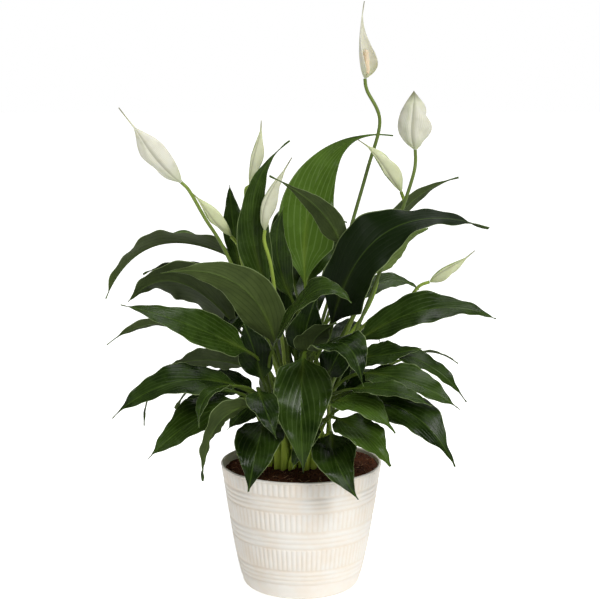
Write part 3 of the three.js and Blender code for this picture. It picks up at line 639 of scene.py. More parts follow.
spathe_tissue, add, place = start_material("milky_spathe_tissue")
look = add("Attribute", attribute_name="bloom_look").outputs["Vector"]
round_it, along_it, green_it = add("SeparateXYZ", [look]).outputs
blotch = add("TexNoise", [place, per_metre(blotch_size), 3.0])
bent = add("Math", [blotch, 0.012, round_it], operation="MULTIPLY_ADD")
vein = add("Math", [bent, spathe_veins * 2 * math.pi], operation="MULTIPLY")
vein = add("Math", [vein], operation="SINE")
veined = add("MapRange", [vein, 0.2, 1.0, 0.0, 0.22])
ends = add("ValToRGB", [along_it],
           [(0.0, grey(1.0)), (0.22, grey(0.12)), (0.6, grey(0.04)), (1.0, grey(0.75))])
greening = add("Math", [green_it, 0.45, 0.35], operation="MULTIPLY_ADD")
greened = add("Math", [ends, greening], operation="MULTIPLY")
greened = add("Math", [greened, veined], operation="ADD", use_clamp=True)
# Painted shade: grey patches, spread at random, stand in for the shading of a crumpled spathe.
painted_shade_patches = add("MapRange", [blotch, 0.5, 0.8, 0.0, 0.4])
# The outer edge and the spine opposite are outlined in green on the greener blooms. The inner edge
# gets a painted shadow of the lap, in the same olive as the tail's end, which has dried.
margin = add("MapRange", [round_it, 0.9, 0.96])
spine = add("Math", [round_it, spine_place], operation="SUBTRACT")
spine = add("Math", [spine], operation="ABSOLUTE")
spine = add("MapRange", [spine, 0.07, 0.02])
outlined = add("Math", [margin, spine], operation="MAXIMUM")
outlined = add("Math", [green_it, outlined], operation="MULTIPLY")
lap_shadow = add("MapRange", [round_it, 0.07, 0.0, 0.0, 0.55])
tipped = add("MapRange", [along_it, 0.8, 0.97, 0.0, 0.85])
colour = spathe_white
for amount, tint in [(green_it, spathe_cream), (painted_shade_patches, spathe_shade), (greened, spathe_green),
                     (outlined, spathe_margin), (lap_shadow, spathe_dry_tip_and_lap_shadow), (tipped, spathe_dry_tip_and_lap_shadow)]:
    colour = add("Mix", [amount, colour, tint], data_type="RGBA")
end_material(add, colour, 0.5, 1.4, vein, 0.2, 0.3,
             {"Subsurface Weight": 0.25, "Subsurface Radius": (1.0, 0.9, 0.5),
              "Subsurface Scale": 0.002})

for number, through, base, middle, tip, width, tail, green, stem_young in bloom_rows:
    if number == "5":
        continue
    share = np.linspace(0, 1, bud_rows)
    centres = bezier(through_middle(base, middle, tip), share)
    tangents = tangents_of(centres)
    centres[0] = centres[0] + bud_gap * tangents[0]
    sides, normals = carry_sides(tangents, unit(np.cross((0, 1, 0), tangents[0])))
    along = share[:, None]
    tail_half = least_bud + tail_swell * (1 - along) * smooth_step(along / 0.5)
    half = np.maximum(tail_half, width / 2 * bud_width_share(along, tail))
    # Round the section, the radius grows from the inner edge to the outer one and drops back.
    step = np.arange(bud_sides) / (bud_sides - 1)
    start = lap_places.get(number, side_lap) + lap_turns * along
    angle = 2 * math.pi * (start + lap_span * step)
    lapped = smooth_step(along / plain_base) * smooth_step((1 - along) / plain_tip)
    curl = lap_curl * smooth_step((step - curl_start) / (1 - curl_start))
    curl = curl * (1 + np.sin(curls_along * along))
    swell = 1 + lapped * (lap_start - 1 + lap_rise * step + curl)
    ripple = crumple_turns * along + crumple_shift * int(number)
    lobes = lobe_depth * lobed_sides.get(number, 1) * np.sin(3 * angle + ripple)
    crumple = (np.sin(2 * angle + ripple) + lobes) * np.sin(math.pi * step) ** 0.5
    pleats = 1 + lapped * (crumple_depth * crumple - pleat_depth * np.cos(bud_pleats * angle))
    points = ring_points(centres, sides, normals, half * swell * pleats, angle, bud_flatness)
    look = np.stack([np.append(np.tile(step, bud_rows), [0, 0]),
                     np.append(np.repeat(share, bud_sides), [0, 1]),
                     np.full(len(points), green)], axis=-1)
    make_piece("rolled_spathe_" + number, points, round_faces(bud_rows, bud_sides), spathe_tissue,
               "bloom", ["bloom_" + number], bloom_look=look)

# ========================================
# The open bloom. Its spathe has unrolled into a hood that stands behind the spadix and still curls
# round its foot. The hood is a thin sheet that grows out of its stem.
hood_rows = 56
hood_columns = 30
hood_thickness = 0.8
hood_round = 0.75
hood_taper = 2.6
hood_neck = 1.4
hood_curl_low = 1.9
hood_curl_high = 0.6
hood_face = np.array([0.75, -0.65, 0.0])


def blade_width_share(share, round_end, taper):
    """A blade's width along it, as a share of the greatest."""
    widest = round_end / (round_end + taper)
    return (share / widest) ** round_end * ((1 - share) / (1 - widest)) ** taper


def sheet_faces(rows, columns, first=0):
    """The skin of a thin sheet: its upper grid of points, then its lower one, closed all round."""
    count = rows * columns
    upper = grid_faces(rows, columns, closed=False, first=first)
    lower = [face[::-1] for face in grid_faces(rows, columns, closed=False, first=first + count)]
    edge = [row * columns for row in range(rows)]
    edge += [(rows - 1) * columns + column for column in range(1, columns)]
    edge += [row * columns + columns - 1 for row in range(rows - 2, -1, -1)]
    edge += list(range(columns - 2, 0, -1))
    edge = [first + corner for corner in edge]
    walls = [(a, b, b + count, a + count) for a, b in zip(edge, edge[1:] + edge[:1])]
    return upper + lower + walls


number, through, base, middle, tip, width, tail, green, stem_young = bloom_rows[4]
share = np.linspace(0, 1, hood_rows)
hood_line = through_middle(base, middle, tip)
centres = bezier(hood_line, share)
tangents = tangents_of(centres)
centres[0] = centres[0] + bud_gap * tangents[0]
sides = np.cross(tangents, hood_face)
sides = sides / np.linalg.norm(sides, axis=1, keepdims=True)
normals = np.cross(sides, tangents)
half = np.maximum(hood_neck - share, width / 2 * blade_width_share(share, hood_round, hood_taper))
curl = mix(hood_curl_low, hood_curl_high, share)
radius = (half / np.sin(np.minimum(curl, math.pi / 2)))[:, None]
column = np.linspace(-1, 1, hood_columns)
angle = curl[:, None] * column
layers = []
for thickness in (-hood_thickness / 2, hood_thickness / 2):
    reach = radius + thickness * (1 - 0.5 * column ** 4)
    layer = (centres[:, None] + sides[:, None] * (reach * np.sin(angle))[..., None]
             + normals[:, None] * (radius - reach * np.cos(angle))[..., None])
    layers.append(layer.reshape(-1, 3))
points = np.vstack(layers)
look = np.stack([np.tile(0.5 + 0.4 * column, 2 * hood_rows),
                 np.tile(np.repeat(share, hood_columns), 2), np.full(len(points), green)], axis=-1)
make_piece("hooded_spathe_5", points, sheet_faces(hood_rows, hood_columns), spathe_tissue, "bloom",
           ["bloom_5"], bloom_look=look)

# ========================================
# The spadix. The fleshy spike in the open bloom, set all over with tiny flowers that stand in a
# lattice of crossing spirals. It grows from the foot of the hood.
spadix_foot = np.array([2.4, -2.2, 4.0])
spadix_radius = 3.0
spadix_length = 24.0
spadix_bluntness = 6
least_spadix = 0.12
floret_rows = 17
florets_round = 13
floret_rise = 0.42
steps_per_floret = 6

# Spadix florets: fleshy, faintly mealy knobs, IOR 1.4, with pollen on their tips. They give the eye
# a warm peach cream, and painted shade darkens it in the pits between them.
floret_cream = "#f4e3c6"
floret_pit_shade = "#c9a06e"
meal_size = 0.35

floret_flesh, add, place = start_material("fleshy_spadix_florets")
rise = add("Attribute", attribute_name="floret_rise").outputs["Fac"]
meal = add("TexNoise", [place, per_metre(meal_size), 2.0])
# Painted shade: the pits between the knobs are darker.
colour = add("ValToRGB", [rise], [(0.1, floret_pit_shade), (0.6, floret_cream)])
end_material(add, colour, 0.65, 1.4, meal, 0.3, 0.2,
             {"Subsurface Weight": 0.2, "Subsurface Radius": (1.0, 0.7, 0.4),
              "Subsurface Scale": 0.0015})

spadix_rows = steps_per_floret * floret_rows
spadix_sides = steps_per_floret * florets_round
share = np.linspace(0, 1, spadix_rows)[:, None]
turn = turns_round(spadix_sides)
axis = tangents_of(bezier(hood_line, np.linspace(0.29, 0.31, 3)))[1]
centres = np.array(base) + spadix_foot + spadix_length * share * axis
sides, normals = carry_sides(np.tile(axis, (spadix_rows, 1)), (1, 0, 0))
one_way = np.cos(math.pi * floret_rows * share + florets_round / 2 * turn)
other_way = np.cos(math.pi * floret_rows * share - florets_round / 2 * turn)
knob = np.sqrt(np.abs(one_way * other_way))
profile = np.sqrt(np.maximum(0, 1 - np.abs(2 * share - 1) ** spadix_bluntness))
reach = (spadix_radius - floret_rise) * np.maximum(least_spadix, profile) + floret_rise * knob
points = ring_points(centres, sides, normals, reach, turn)
make_piece("floret_spadix_5", points, round_faces(spadix_rows, spadix_sides), floret_flesh,
           "spadix", ["spadix_5"], floret_rise=np.append(knob.ravel(), [0.5, 0.5]))

# ========================================
# The leaves. Each is one long stalk, grooved and sheathed at its foot, that bends into a glossy
# lance-shaped blade, quilted between side veins that run forward from its midrib. Some grow from
# the sheath of another's stalk.
petiole_radius = 2.1
petiole_top_radius = 1.6
stalk_upright = 0.45
stalk_in_line = 0.35
bent_in_line = 0.2
stalk_rows = 22
stalk_openness = 0.96
stalk_groove = 0.45
groove_reach = 0.3
# The sheath: at what share of the stalk another leaf leaves it, how thick that leaf's stalk is next
# to the usual, how much the sheath widens its own stalk, and up to what share.
sheath_share = 0.1
sheath_thickness = 0.8
sheath_spread = 0.9
sheath_reach = 0.16
blade_thickness = 0.5
margin_thickness = 0.22
tip_thickness = 0.5
row_length = 1.6
round_until = 0.12
usual_round = 0.8
usual_taper = 1.4
fold_easing = 0.35
midrib_share = 0.7
midrib_reach = 0.9
channel_share = 0.35
channel_reach = 0.55
# The margin's waves, its finer ripples and the slow swing of the outline: how deep each is, as a
# share of the half width, and how far it turns along the blade, in radians. The shifts keep the
# two sides of a blade, and one leaf and the next, out of step.
wave_depth = 0.075
wave_turns = 17
wave_slant = 1.3
ripple_depth = 0.032
ripple_turns = 43
ripple_side_shift = 2.1
ripple_leaf_shift = 2.3
swing_depth = 0.06
swing_turns = 11
swing_side_shift = 1.9
swing_leaf_shift = 3.1
swing_from = 0.15
# The side veins: how many lie across a half blade and along it, how deep they are sunk, how far
# from the margin and the midrib they fade, and the half width under which they fade too.
veins_across = 4.6
veins_along = 5.0
vein_sink = 0.24
vein_edge_share = 0.2
vein_rib_gap = 3.0
vein_half_width = 8
# Where the stalk's colour ends along the midrib, and how wide it is there.
stalk_tint_until = 0.3
stalk_tint_reach = 2.5
half_across = np.array([0.02, 0.05, 0.09, 0.15, 0.23, 0.32, 0.42, 0.52, 0.62, 0.72, 0.81, 0.89,
                        0.95, 1.0])
across = np.concatenate([-half_across[::-1], [0.0], half_across])
sway_steps = [0, 2, -2, 4, -4, 7, -7, 10, -10, 14, -14, 18, -18]

# How young each leaf is, from 0, a dark one, to 1, a bright one. Under 0 it is old and has lost its
# shine. The darkest also hold painted shade: the mid leaves at the heart and right_1 are set darker
# to stand in for the shade they lie in. Those that aren't named lie between 0.02 and 0.22.
leaf_tones_and_shade = {"front_1": 0.16, "right_1": -0.1, "left_4": 0.16, "left_13": 0.08, "right_14": 0.1,
              "top_3": 0.14, "top_5": 0.62, "right_12": 0.4, "right_13": 0.42, "left_2": 0.3,
              "left_1": 0.35, "left_3": 0.05, "top_4": 0.12, "mid_1": 0.0, "mid_2": 0.0,
              "mid_3": 0.0, "mid_4": 0.0, "mid_5": 0.0, "mid_7": 0.0, "mid_8": 0.0,
              "right_16": 1.0}
# Each leaf: name, blade base, middle and tip, greatest width, the way its upper face looks, the
# angle that each half rises from flat, and what else is its own.
leaf_rows = [
    ("front_1", (2, -62, 249), (0, -98, 203), (2, -108, 146), 56, (0, -0.95, 0.3), 8,
     {"round": 0.6, "via": (40, -40, 240)}),
    ("right_1", (30, -48, 277), (80, -88, 373), (177, -80, 376), 67, (-0.2, -0.9, 0.35), 5,
     {"round": 0.45, "taper": 1.35, "tipFace": (0, -0.35, 1)}),
    ("left_2", (-25, -22, 253), (-63, -56, 320), (-135, -66, 331), 46, (-0.3, 0.85, 0.5), 12,
     {"round": 0.55}),
    ("left_4", (-53, -46, 251), (-110, -84, 285), (-172, -96, 306), 40, (-0.1, -0.75, 0.65), 14,
     {"round": 0.8, "taper": 1.6}),
    ("left_1", (-61, 50, 327), (-149, 58, 345), (-204, 44, 290), 60, (-0.1, 0.15, 1), 30),
    ("left_13", (-35, -58, 187), (-43, -98, 163), (-50, -110, 128), 46, (-0.15, -0.85, 0.5), 10,
     {"round": 0.6}),
    ("right_14", (30, -52, 170), (34, -98, 153), (54, -112, 121), 44, (0.1, -0.85, 0.45), 10,
     {"round": 0.6}),
    ("left_7", (-60, -50, 216), (-121, -92, 230), (-179, -104, 198), 47, (-0.3, -0.6, 0.8), 12),
    ("right_4", (55, -12, 253), (127, -14, 288), (196, -6, 277), 45, (-0.15, -0.6, 0.8), 14),
    ("right_9", (60, -50, 230), (105, -90, 230), (150, -102, 206), 42, (0.3, -0.6, 0.75), 12),
    ("right_11", (56, -58, 203), (106, -98, 200), (145, -112, 153), 51, (0.35, -0.7, 0.6), 12),
    ("top_3", (-9, 10, 294), (-24, 12, 345), (-17, 10, 389), 26, (0.1, -0.95, 0.2), 14),
    ("top_1", (-35, -6, 304), (-50, -4, 395), (-11, 6, 455), 36, (0.3, -0.85, 0.3), 12,
     {"round": 0.6, "taper": 1.9}),
    ("top_5", (4, 26, 307), (22, 42, 427), (94, 40, 459), 60, (0.3, -0.8, 0.5), 10,
     {"round": 0.6, "taper": 2.5}),
    ("top_4", (39, -40, 354), (16, -62, 393), (-30, -78, 425), 26, (-0.3, 0.6, 0.7), 12,
     {"round": 0.75, "taper": 1.8}),
    ("top_6", (-29, -46, 251), (10, -94, 316), (47, -108, 309), 36, (0.3, -0.6, 0.7), 10),
    ("right_5", (14, -66, 255), (42, -108, 269), (57, -124, 233), 50, (0.3, -0.7, 0.6), 10,
     {"round": 0.6}),
    ("right_8", (78, -36, 249), (122, -60, 239), (158, -66, 204), 30, (0.4, -0.5, 0.8), 12),
    ("left_9", (-64, -52, 204), (-104, -92, 192), (-146, -104, 158), 46, (-0.4, -0.75, 0.6), 12),
    ("left_3", (-63, 22, 259), (-127, 34, 308), (-180, 30, 288), 58, (-0.2, 0.75, 0.6), 12),
    ("left_12", (-52, -84, 207), (-87, -112, 192), (-99, -120, 143), 38, (-0.7, 0.5, 0.4), 12),
    ("right_12", (25, -86, 209), (52, -124, 214), (79, -136, 190), 35, (0.3, -0.7, 0.6), 12),
    ("right_13", (34, -70, 190), (61, -106, 181), (84, -118, 155), 42, (0.4, -0.7, 0.6), 12),
    ("right_2", (73, 38, 321), (107, 54, 383), (164, 62, 415), 22, (-0.5, 0.7, 0.3), 14),
    ("left_5", (-66, 6, 251), (-139, 8, 271), (-198, 6, 248), 26, (-0.1, 0.65, 0.8), 14),
    ("left_6", (-52, -6, 227), (-95, -6, 235), (-134, -4, 228), 40, (-0.2, 0.7, 0.7), 14),
    ("right_7", (58, -30, 243), (86, -46, 249), (119, -50, 256), 33, (0.1, -0.6, 0.8), 12),
    ("right_10", (52, -88, 223), (92, -124, 230), (128, -136, 219), 28, (0.2, -0.45, 0.9), 12),
    ("left_14", (-41, -84, 220), (-33, -114, 207), (-23, -124, 183), 30, (0.2, -0.8, 0.5), 12,
     {"round": 0.6}),
    ("right_15", (26, -62, 182), (16, -88, 168), (9, -98, 148), 24, (-0.3, -0.8, 0.4), 12),
    ("left_11", (-62, -94, 227), (-84, -124, 223), (-91, -132, 195), 20, (-0.5, -0.5, 0.7), 14),
    ("left_15", (-57, 28, 301), (-113, 34, 326), (-164, 34, 316), 24, (-0.1, 0.3, 1), 14),
    ("top_2", (-63, 40, 315), (-71, 48, 370), (-74, 50, 408), 24, (0.3, -0.8, 0.2), 14),
    ("right_3", (46, 46, 284), (92, 72, 304), (125, 74, 295), 24, (0.1, -0.6, 0.8), 14),
    ("right_6", (15, -46, 249), (26, -62, 269), (47, -64, 285), 34, (-0.3, 0.6, 0.5), 12),
    ("left_8", (-76, 22, 200), (-142, 30, 207), (-164, 28, 158), 26, (-0.4, -0.2, 0.9), 14),
    ("back_1", (5, 45, 255), (8, 115, 300), (10, 180, 275), 44, (0, -0.2, 1), 12),
    ("back_2", (35, 38, 225), (72, 95, 250), (105, 148, 220), 40, (0.1, -0.2, 1), 12),
    ("back_3", (-35, 40, 240), (-68, 100, 272), (-100, 155, 248), 42, (-0.1, -0.2, 1), 12),
    ("back_4", (46, 34, 190), (84, 82, 205), (116, 120, 165), 36, (0.2, -0.1, 1), 12),
    ("back_5", (-46, 40, 186), (-86, 84, 200), (-118, 122, 160), 38, (-0.2, -0.1, 1), 12),
]

# Leaves that grow from the sheath of another leaf's stalk: the other leaf's name comes first.
sheathed_rows = [
    ("back_1", "back_8", (-6, 30, 300), (-12, 62, 362), (6, 108, 398), 40, (0, -0.9, 0.5), 12),
    ("back_2", "back_6", (16, 48, 176), (36, 104, 182), (52, 150, 134), 36, (0.1, 0.1, 1), 12),
    ("back_3", "back_7", (-14, 50, 182), (-30, 110, 192), (-44, 158, 146), 36, (-0.1, 0.1, 1), 12),
    ("back_4", "back_9", (12, 42, 215), (28, 95, 240), (45, 140, 215), 44, (0.1, -0.1, 1), 12),
    ("back_5", "back_10", (-15, 42, 215), (-30, 95, 240), (-48, 140, 215), 44, (-0.1, -0.1, 1), 12),
    ("right_3", "back_11", (30, 40, 280), (56, 84, 325), (84, 128, 318), 44, (0.1, -0.3, 1), 12),
    ("left_1", "back_12", (-40, 40, 262), (-62, 84, 308), (-84, 128, 296), 42, (-0.1, -0.3, 1), 12),
    ("top_5", "back_13", (6, 42, 300), (22, 84, 352), (50, 124, 362), 42, (0.1, -0.5, 1), 12),
    ("left_6", "left_10", (-63, -30, 206), (-94, -46, 208), (-123, -48, 186), 28,
     (-0.3, -0.5, 0.9), 14),
    ("right_8", "right_17", (105, -10, 238), (131, -15, 244), (157, -15, 232), 12, (0, 0.3, 0.9),
     14),
    ("left_3", "mid_1", (-48, 22, 290), (-67, 20, 271), (-92, 15, 239), 38, (-0.4, -0.6, 0.7), 12),
    ("top_6", "mid_2", (0, -36, 247), (6, -42, 278), (16, -38, 308), 36, (0, -0.97, 0.2), 8,
     {"round": 0.6}),
    ("left_4", "mid_3", (-39, -34, 220), (-48, -38, 253), (-58, -36, 279), 34,
     (-0.1, -0.95, 0.3), 10),
    ("right_6", "mid_4", (29, -26, 222), (41, -32, 246), (53, -30, 267), 30, (0.1, -0.95, 0.3), 10),
    ("right_9", "mid_5", (39, -20, 201), (71, -26, 212), (101, -22, 222), 34, (0.1, -0.8, 0.6), 10),
    ("top_3", "mid_7", (-9, 18, 259), (-18, 24, 302), (-9, 22, 344), 34, (0, -0.97, 0.2), 10),
    ("left_6", "mid_6", (-40, -4, 195), (-57, -10, 183), (-75, -14, 164), 30, (-0.2, -0.8, 0.6),
     10),
    ("right_3", "mid_8", (18, 30, 189), (36, 36, 212), (57, 38, 230), 36, (0.1, -0.95, 0.2), 10),
    ("right_2", "right_16", (78, 8, 319), (93, 14, 347), (129, 18, 366), 34, (-0.3, 0.9, 0.3), 12),
]


def leaf_of(row, index):
    name, base, middle, tip, width, face, fold, *more = row
    usual = {"round": usual_round, "taper": usual_taper, "phase": 1.7 * index,
             "tone": leaf_tones_and_shade.get(name, 0.02 + 0.2 * (0.618 * 7 * index % 1))}
    return {"name": name, "base": base, "middle": middle, "tip": tip, "width": width,
            "face": face, "fold": fold, **usual, **(more[0] if more else {})}


def bell(value):
    """1 at the middle, falling away smoothly on both sides."""
    return np.exp(-value ** 2)


def leaf_sheet(leaf, root, sheath=None):
    """A leaf's points, its rows, its map (reach, vein turn, place across), its look (how much of a
    stalk, tone, underside) and the place on its stalk where its sheath ends."""
    base, middle, tip = (np.array(leaf[key], float) for key in ("base", "middle", "tip"))
    blade = through_middle(base, middle, tip)
    ground = float(soil_height(*root))
    foot = np.array([*root, ground + standing]) if sheath is None else sheath
    rise = np.linalg.norm(base - foot)
    heading = unit(blade[1] - blade[0])
    via = leaf.get("via")
    bend = np.array(via, float) if via else foot + (0, 0, stalk_upright * rise)
    approach = base - heading * rise * (bent_in_line if via else stalk_in_line)
    stalk = [foot, bend, approach, base]
    foot_thick = petiole_radius * (1 if sheath is None else sheath_thickness)

    length = np.linalg.norm(middle - base) + np.linalg.norm(tip - middle)
    blade_rows = int(length / row_length)
    stalk_share = np.linspace(0, 1, stalk_rows, endpoint=False)
    blade_share = np.linspace(0, 1, blade_rows)
    centres = np.vstack([bezier(stalk, stalk_share), bezier(blade, blade_share)])
    share = np.concatenate([np.zeros(stalk_rows), blade_share])
    on_stalk = np.concatenate([stalk_share, np.ones(blade_rows)])
    thick = np.concatenate([mix(foot_thick, petiole_top_radius, stalk_share),
                            mix(petiole_top_radius, tip_thickness, np.sqrt(blade_share))])
    if sheath is None:
        centres = np.vstack([[(*root, ground - root_depth)], centres])
        share, on_stalk, thick = (np.insert(values, 0, values[0])
                                  for values in (share, on_stalk, thick))
    tangents = tangents_of(centres)
    first_blade = len(centres) - blade_rows

    # Each row's side is square to the line, and near the one that the blade's face asks for.
    main_tangent = unit(bezier(blade, [0.51])[0] - bezier(blade, [0.49])[0])
    main_side = unit(np.cross(main_tangent, leaf["face"]))
    tip_side = unit(np.cross(tangents[-1], leaf["tipFace"])) if "tipFace" in leaf else main_side
    sides = np.zeros_like(centres)
    side = main_side
    for index in range(len(centres) - 1, -1, -1):
        guide = mix(main_side, tip_side, share[index]) if index >= first_blade else side
        side = unit(guide - np.dot(guide, tangents[index]) * tangents[index])
        sides[index] = side
    normals = np.cross(sides, tangents)

    half_width = leaf["width"] / 2
    fold = math.tan(math.radians(leaf["fold"]))
    phase = leaf["phase"]
    stalkness = np.clip(1 - share / round_until, 0, 1)
    stalkness[:first_blade] = 1
    thick, share, stalkness, on_stalk = (values[:, None] for values in
                                         (thick, share, stalkness, on_stalk))
    wide = half_width * blade_width_share(share, leaf["round"], leaf["taper"])
    swing_turn = swing_turns * share + swing_side_shift * np.sign(across) + swing_leaf_shift * phase
    swing = swing_depth * np.sin(swing_turn) * np.abs(across) * smooth_step(share / swing_from)
    reach = across * np.maximum(thick, wide) * (1 + swing)

    wave_turn = wave_turns * share + wave_slant * across + phase
    ripple_turn = (ripple_turns * share + ripple_side_shift * np.sign(across)
                   + ripple_leaf_shift * phase)
    wave = (wave_depth * half_width * across ** 2 * np.sin(wave_turn)
            + ripple_depth * half_width * across ** 4 * np.sin(ripple_turn))
    lift = np.abs(reach) * fold - fold_easing * fold * reach ** 2 / half_width + wave
    vein_turn = veins_across * np.abs(across) - veins_along * share + phase
    vein = (0.5 + 0.5 * np.cos(2 * math.pi * vein_turn)) ** 2
    inside = smooth_step((1 - np.abs(across)) / vein_edge_share)
    inside = inside * smooth_step(np.abs(reach) / vein_rib_gap)
    sunk = vein_sink * vein * inside * smooth_step(wide / vein_half_width)
    keel = midrib_share * thick * bell(reach / (midrib_reach * thick))
    channel = channel_share * thick * bell(reach / (channel_reach * thick))
    channel = channel * smooth_step((1 - share) / 0.5)
    skin = mix(blade_thickness, margin_thickness, across ** 4) / 2

    angle = math.pi / 2 * (1 - stalk_openness * across)
    round_reach = thick * np.cos(angle) * (1 + sheath_spread * bell(on_stalk / sheath_reach))
    round_top = thick * (np.sin(angle) - stalk_groove * bell(across / groove_reach))
    round_bottom = -thick * np.sin(angle)
    sideways = centres[:, None] + sides[:, None] * mix(reach, round_reach, stalkness)[..., None]
    above = mix(lift + skin - sunk - channel, round_top, stalkness)[..., None]
    below = mix(lift - skin - sunk - keel, round_bottom, stalkness)[..., None]
    points = np.vstack([(sideways + normals[:, None] * level).reshape(-1, 3)
                        for level in (above, below)])

    chart = np.stack([np.broadcast_to(values, reach.shape).ravel()
                      for values in (reach, vein_turn, across)], axis=-1)
    stalky = np.clip(1 - share / stalk_tint_until, 0, 1) * bell(reach / stalk_tint_reach)
    stalky = np.maximum(stalky, smooth_step((stalkness - 0.7) / 0.3)).ravel()
    looks = [np.stack([stalky, np.full(reach.size, leaf["tone"]), np.full(reach.size, under)],
                      axis=-1) for under in (0.0, 1.0)]
    sheath_end = bezier(stalk, [sheath_share])[0]
    return points, len(centres), np.vstack([chart, chart]), np.vstack(looks), sheath_end


def sway_of(node, root, tip):
    """How far the CAD turned a leaf about its root to clear its neighbours, in radians."""
    points = node_points(node)
    best = []
    for degrees in sway_steps:
        cosine, sine = math.cos(math.radians(degrees)), math.sin(math.radians(degrees))
        x, y = tip[0] - root[0], tip[1] - root[1]
        there = (root[0] + cosine * x - sine * y, root[1] + sine * x + cosine * y, tip[2])
        best.append((np.linalg.norm(points - there, axis=1).min(), degrees))
    return math.radians(min(best)[1])


# Living leaf: water-filled green cells under a smooth natural wax, IOR 1.4. The wax gives the eye
# glints broken into stripes by the veins, softer on old leaves. Above it is deep green with a paler
# midrib and side veins, below a matte grey-green, and its margin is a pale line. Its stalk is olive
# and turns a pale yellow-green near the soil, where little light reaches it; painted light makes
# that low part brighter still, against the shade it stands in there.
upper_dark = "#0f1f02"
upper_bright = "#5a7a28"
under_grey = "#333f1e"
under_bright = "#66783c"
under_dark = "#2a3715"
rib_green = "#56702a"
vein_pale = "#93ad6b"
stalk_green = "#7d9638"
stalk_olive = "#3e4f18"
stalk_pale_and_painted_light = "#c8e058"
margin_green = "#8b9c68"
veinlets = 5.0
bright_until = 175.0
bright_below = 135.0
cell_size = 0.7
mottle_size = 18.0

leaf_tissue, add, place = start_material("waxed_leaf_tissue")
chart = add("Attribute", attribute_name="leaf_map").outputs["Vector"]
reach_it, vein_it, across_it = add("SeparateXYZ", [chart]).outputs
look = add("Attribute", attribute_name="leaf_look").outputs["Vector"]
stalky, tone, under = add("SeparateXYZ", [look]).outputs
mottle = add("TexNoise", [place, per_metre(mottle_size), 3.0])
cells = add("TexNoise", [place, per_metre(cell_size), 1.0])
vein = add("Math", [vein_it, 2 * math.pi], operation="MULTIPLY")
vein = add("Math", [vein], operation="COSINE")
vein_line = add("MapRange", [vein, 0.6, 1.0])
veinlet = add("Math", [vein_it, 2 * math.pi * veinlets], operation="MULTIPLY")
veinlet = add("Math", [veinlet], operation="SINE")
toned = add("Math", [mottle, 0.5, tone], operation="MULTIPLY_ADD")
toned = add("Math", [toned, 0.25], operation="SUBTRACT", use_clamp=True)
vein_tint = add("Math", [tone, 0.24, 0.03], operation="MULTIPLY_ADD")
faces_tint = []
for dark, bright, vein_share, vein_colour in [(upper_dark, upper_bright, vein_tint, vein_pale),
                                              (under_grey, under_bright, 0.4, under_dark)]:
    tint = add("Mix", [toned, dark, bright], data_type="RGBA")
    veined = add("Math", [vein_line, vein_share], operation="MULTIPLY")
    tint = add("Mix", [veined, tint, vein_colour], data_type="RGBA")
    faces_tint.append(tint)
rib_line = add("Math", [reach_it], operation="ABSOLUTE")
rib_line = add("MapRange", [rib_line, 1.0, 0.3, 0.0, 0.3])
edge_line = add("Math", [across_it], operation="ABSOLUTE")
edge_line = add("MapRange", [edge_line, 0.955, 0.99, 0.0, 0.8])
colour = add("Mix", [under, *faces_tint], data_type="RGBA")
for amount, tint in [(rib_line, rib_green), (edge_line, margin_green)]:
    colour = add("Mix", [amount, colour, tint], data_type="RGBA")
# Painted light: the stalk brightens toward the soil past its own pale colour, against the shade
# there.
low = add("SeparateXYZ", [place]).outputs[2]
low = add("MapRange", [low, bright_until * METRES_PER_MM, bright_below * METRES_PER_MM, 0.0, 0.95])
stalk_tint = stalk_olive
for amount, tint in [(tone, stalk_green), (low, stalk_pale_and_painted_light)]:
    stalk_tint = add("Mix", [amount, stalk_tint, tint], data_type="RGBA")
colour = add("Mix", [stalky, colour, stalk_tint], data_type="RGBA")
waxed = add("MapRange", [mottle, 0.35, 0.65, 0.16, 0.36])
dull = add("MapRange", [tone, 0.0, -0.1, 0.0, 0.2])
worn = add("Math", [waxed, dull], operation="ADD")
gloss = add("Mix", [under, worn, 0.55])
# The side veins are sunk on the upper face of the blade and stand out on the lower one.
relief = add("MapRange", [under, 0.0, 1.0, -1.0, 1.0])
relief = add("Math", [vein_line, relief], operation="MULTIPLY")
for pattern, depth in [(veinlet, 0.12), (cells, 0.25)]:
    relief = add("Math", [pattern, depth, relief], operation="MULTIPLY_ADD")
end_material(add, colour, gloss, 1.4, relief, 0.26, 0.4, {"Specular IOR Level": 0.2})

for index, row in enumerate(leaf_rows):
    leaf = leaf_of(row, index)
    node = "leaf_" + leaf["name"]
    root = root_of(node)
    points, rows, chart, look, sheath_end = leaf_sheet(leaf, root)
    faces = sheet_faces(rows, len(across))
    for holder, *young_row in sheathed_rows:
        if holder != leaf["name"]:
            continue
        young = leaf_of(young_row, index + 0.5)
        more_points, rows, more_chart, more_look, _ = leaf_sheet(young, root, sheath_end)
        faces += sheet_faces(rows, len(across), first=len(points))
        points = np.vstack([points, more_points])
        chart = np.vstack([chart, more_chart])
        look = np.vstack([look, more_look])
    sway = sway_of(node, root, leaf["tip"])
    x, y = points[:, 0] - root[0], points[:, 1] - root[1]
    points[:, 0] = root[0] + math.cos(sway) * x - math.sin(sway) * y
    points[:, 1] = root[1] + math.sin(sway) * x + math.cos(sway) * y
    make_piece("peace_lily_" + node, points, faces, leaf_tissue, "leaf", [node],
               leaf_map=chart, leaf_look=look)

# ========================================
# The studio. A plain white floor under a pale dome, a soft sun-like key high at the front right,
# and two soft boxes, at the front left and above, that give the waxed leaves their glints.
floor_size = 60.0
floor_white = "#f4f4f2"
camera_place = (-0.0012, -1.364, 0.5035)
camera_tilt = 8.68
camera_lens = 82.0
sensor_width = 36.0
plant_middle = (0.0, 0.0, 0.28)

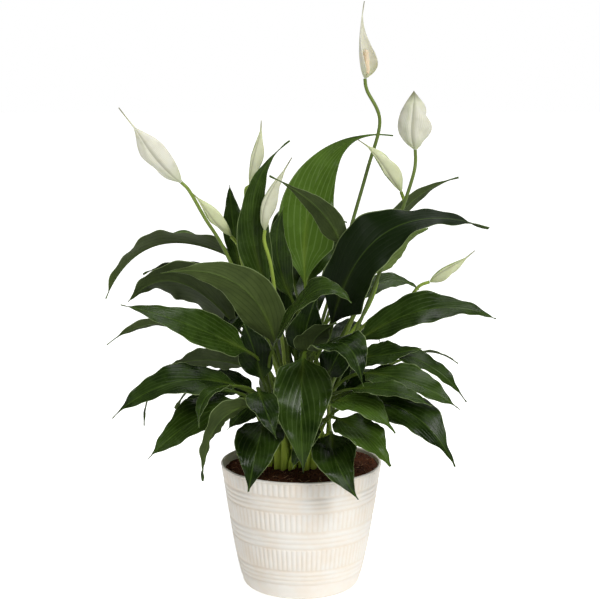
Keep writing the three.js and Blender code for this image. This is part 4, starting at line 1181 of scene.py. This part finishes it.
# White studio paint: matte, and lit a little from itself so that the floor stays as pale as the
# dome behind it. It gives the eye one even white with a soft shadow.
studio_paint, add, place = start_material("white_studio_paint")
speck = add("TexNoise", [place, 3.0])
dullness = add("MapRange", [speck, 0.0, 1.0, 0.62, 0.7])
seen = add("LightPath").outputs["Is Camera Ray"]
glow = add("MapRange", [seen, 0.0, 1.0, 0.22, 0.75])
shader = add("BsdfPrincipled", {"Base Color": floor_white, "Roughness": dullness,
                                "Emission Color": grey(1.0), "Emission Strength": glow})
add("OutputMaterial", [shader])

floor_mesh = bpy.data.meshes.new("studio_floor")
edge = floor_size / 2
corners = [(-edge, -edge, 0), (edge, -edge, 0), (edge, edge, 0), (-edge, edge, 0)]
floor_mesh.from_pydata(corners, [], [(0, 1, 2, 3)])
floor_mesh.materials.append(studio_paint)
add_object("studio_floor", floor_mesh)

world = bpy.data.worlds.new("studio_dome")
bpy.context.scene.world = world
world.use_nodes = True
add = adder(world.node_tree)
direction = add("TexCoord").outputs["Generated"]
height = add("SeparateXYZ", [direction]).outputs[2]
dome = add("ValToRGB", [height], [(0.0, grey(0.25)), (0.35, grey(0.1)), (1.0, grey(0.2))])
seen = add("LightPath").outputs["Is Camera Ray"]
colour = add("Mix", [seen, dome, grey(1.0)], data_type="RGBA")
light = add("Background", [colour, 1.0])
add("OutputWorld", [light])


def add_light(name, kind, place, **settings):
    """A light that looks at the middle of the plant."""
    light = bpy.data.lights.new(name, kind)
    for key, value in settings.items():
        setattr(light, key, value)
    lamp = add_object(name, light)
    lamp.location = place
    lamp.rotation_euler = (Vector(plant_middle) - Vector(place)).to_track_quat("-Z", "Y").to_euler()


add_light("key_sun", "SUN", (1.35, -1.75, 2.1), energy=2.15, angle=math.radians(24))
add_light("left_box", "AREA", (-1.3, -0.9, 1.1), energy=5.0, size=0.45)
add_light("top_box", "AREA", (0.3, 0.5, 1.7), energy=9.0, size=0.9)

lens = bpy.data.cameras.new("studio_camera")
lens.lens = camera_lens
lens.sensor_width = sensor_width
camera = add_object("studio_camera", lens)
camera.location = camera_place
camera.rotation_euler = (math.radians(90 - camera_tilt), 0, 0)
bpy.context.scene.camera = camera
bpy.context.scene.view_settings.view_transform = "Standard"
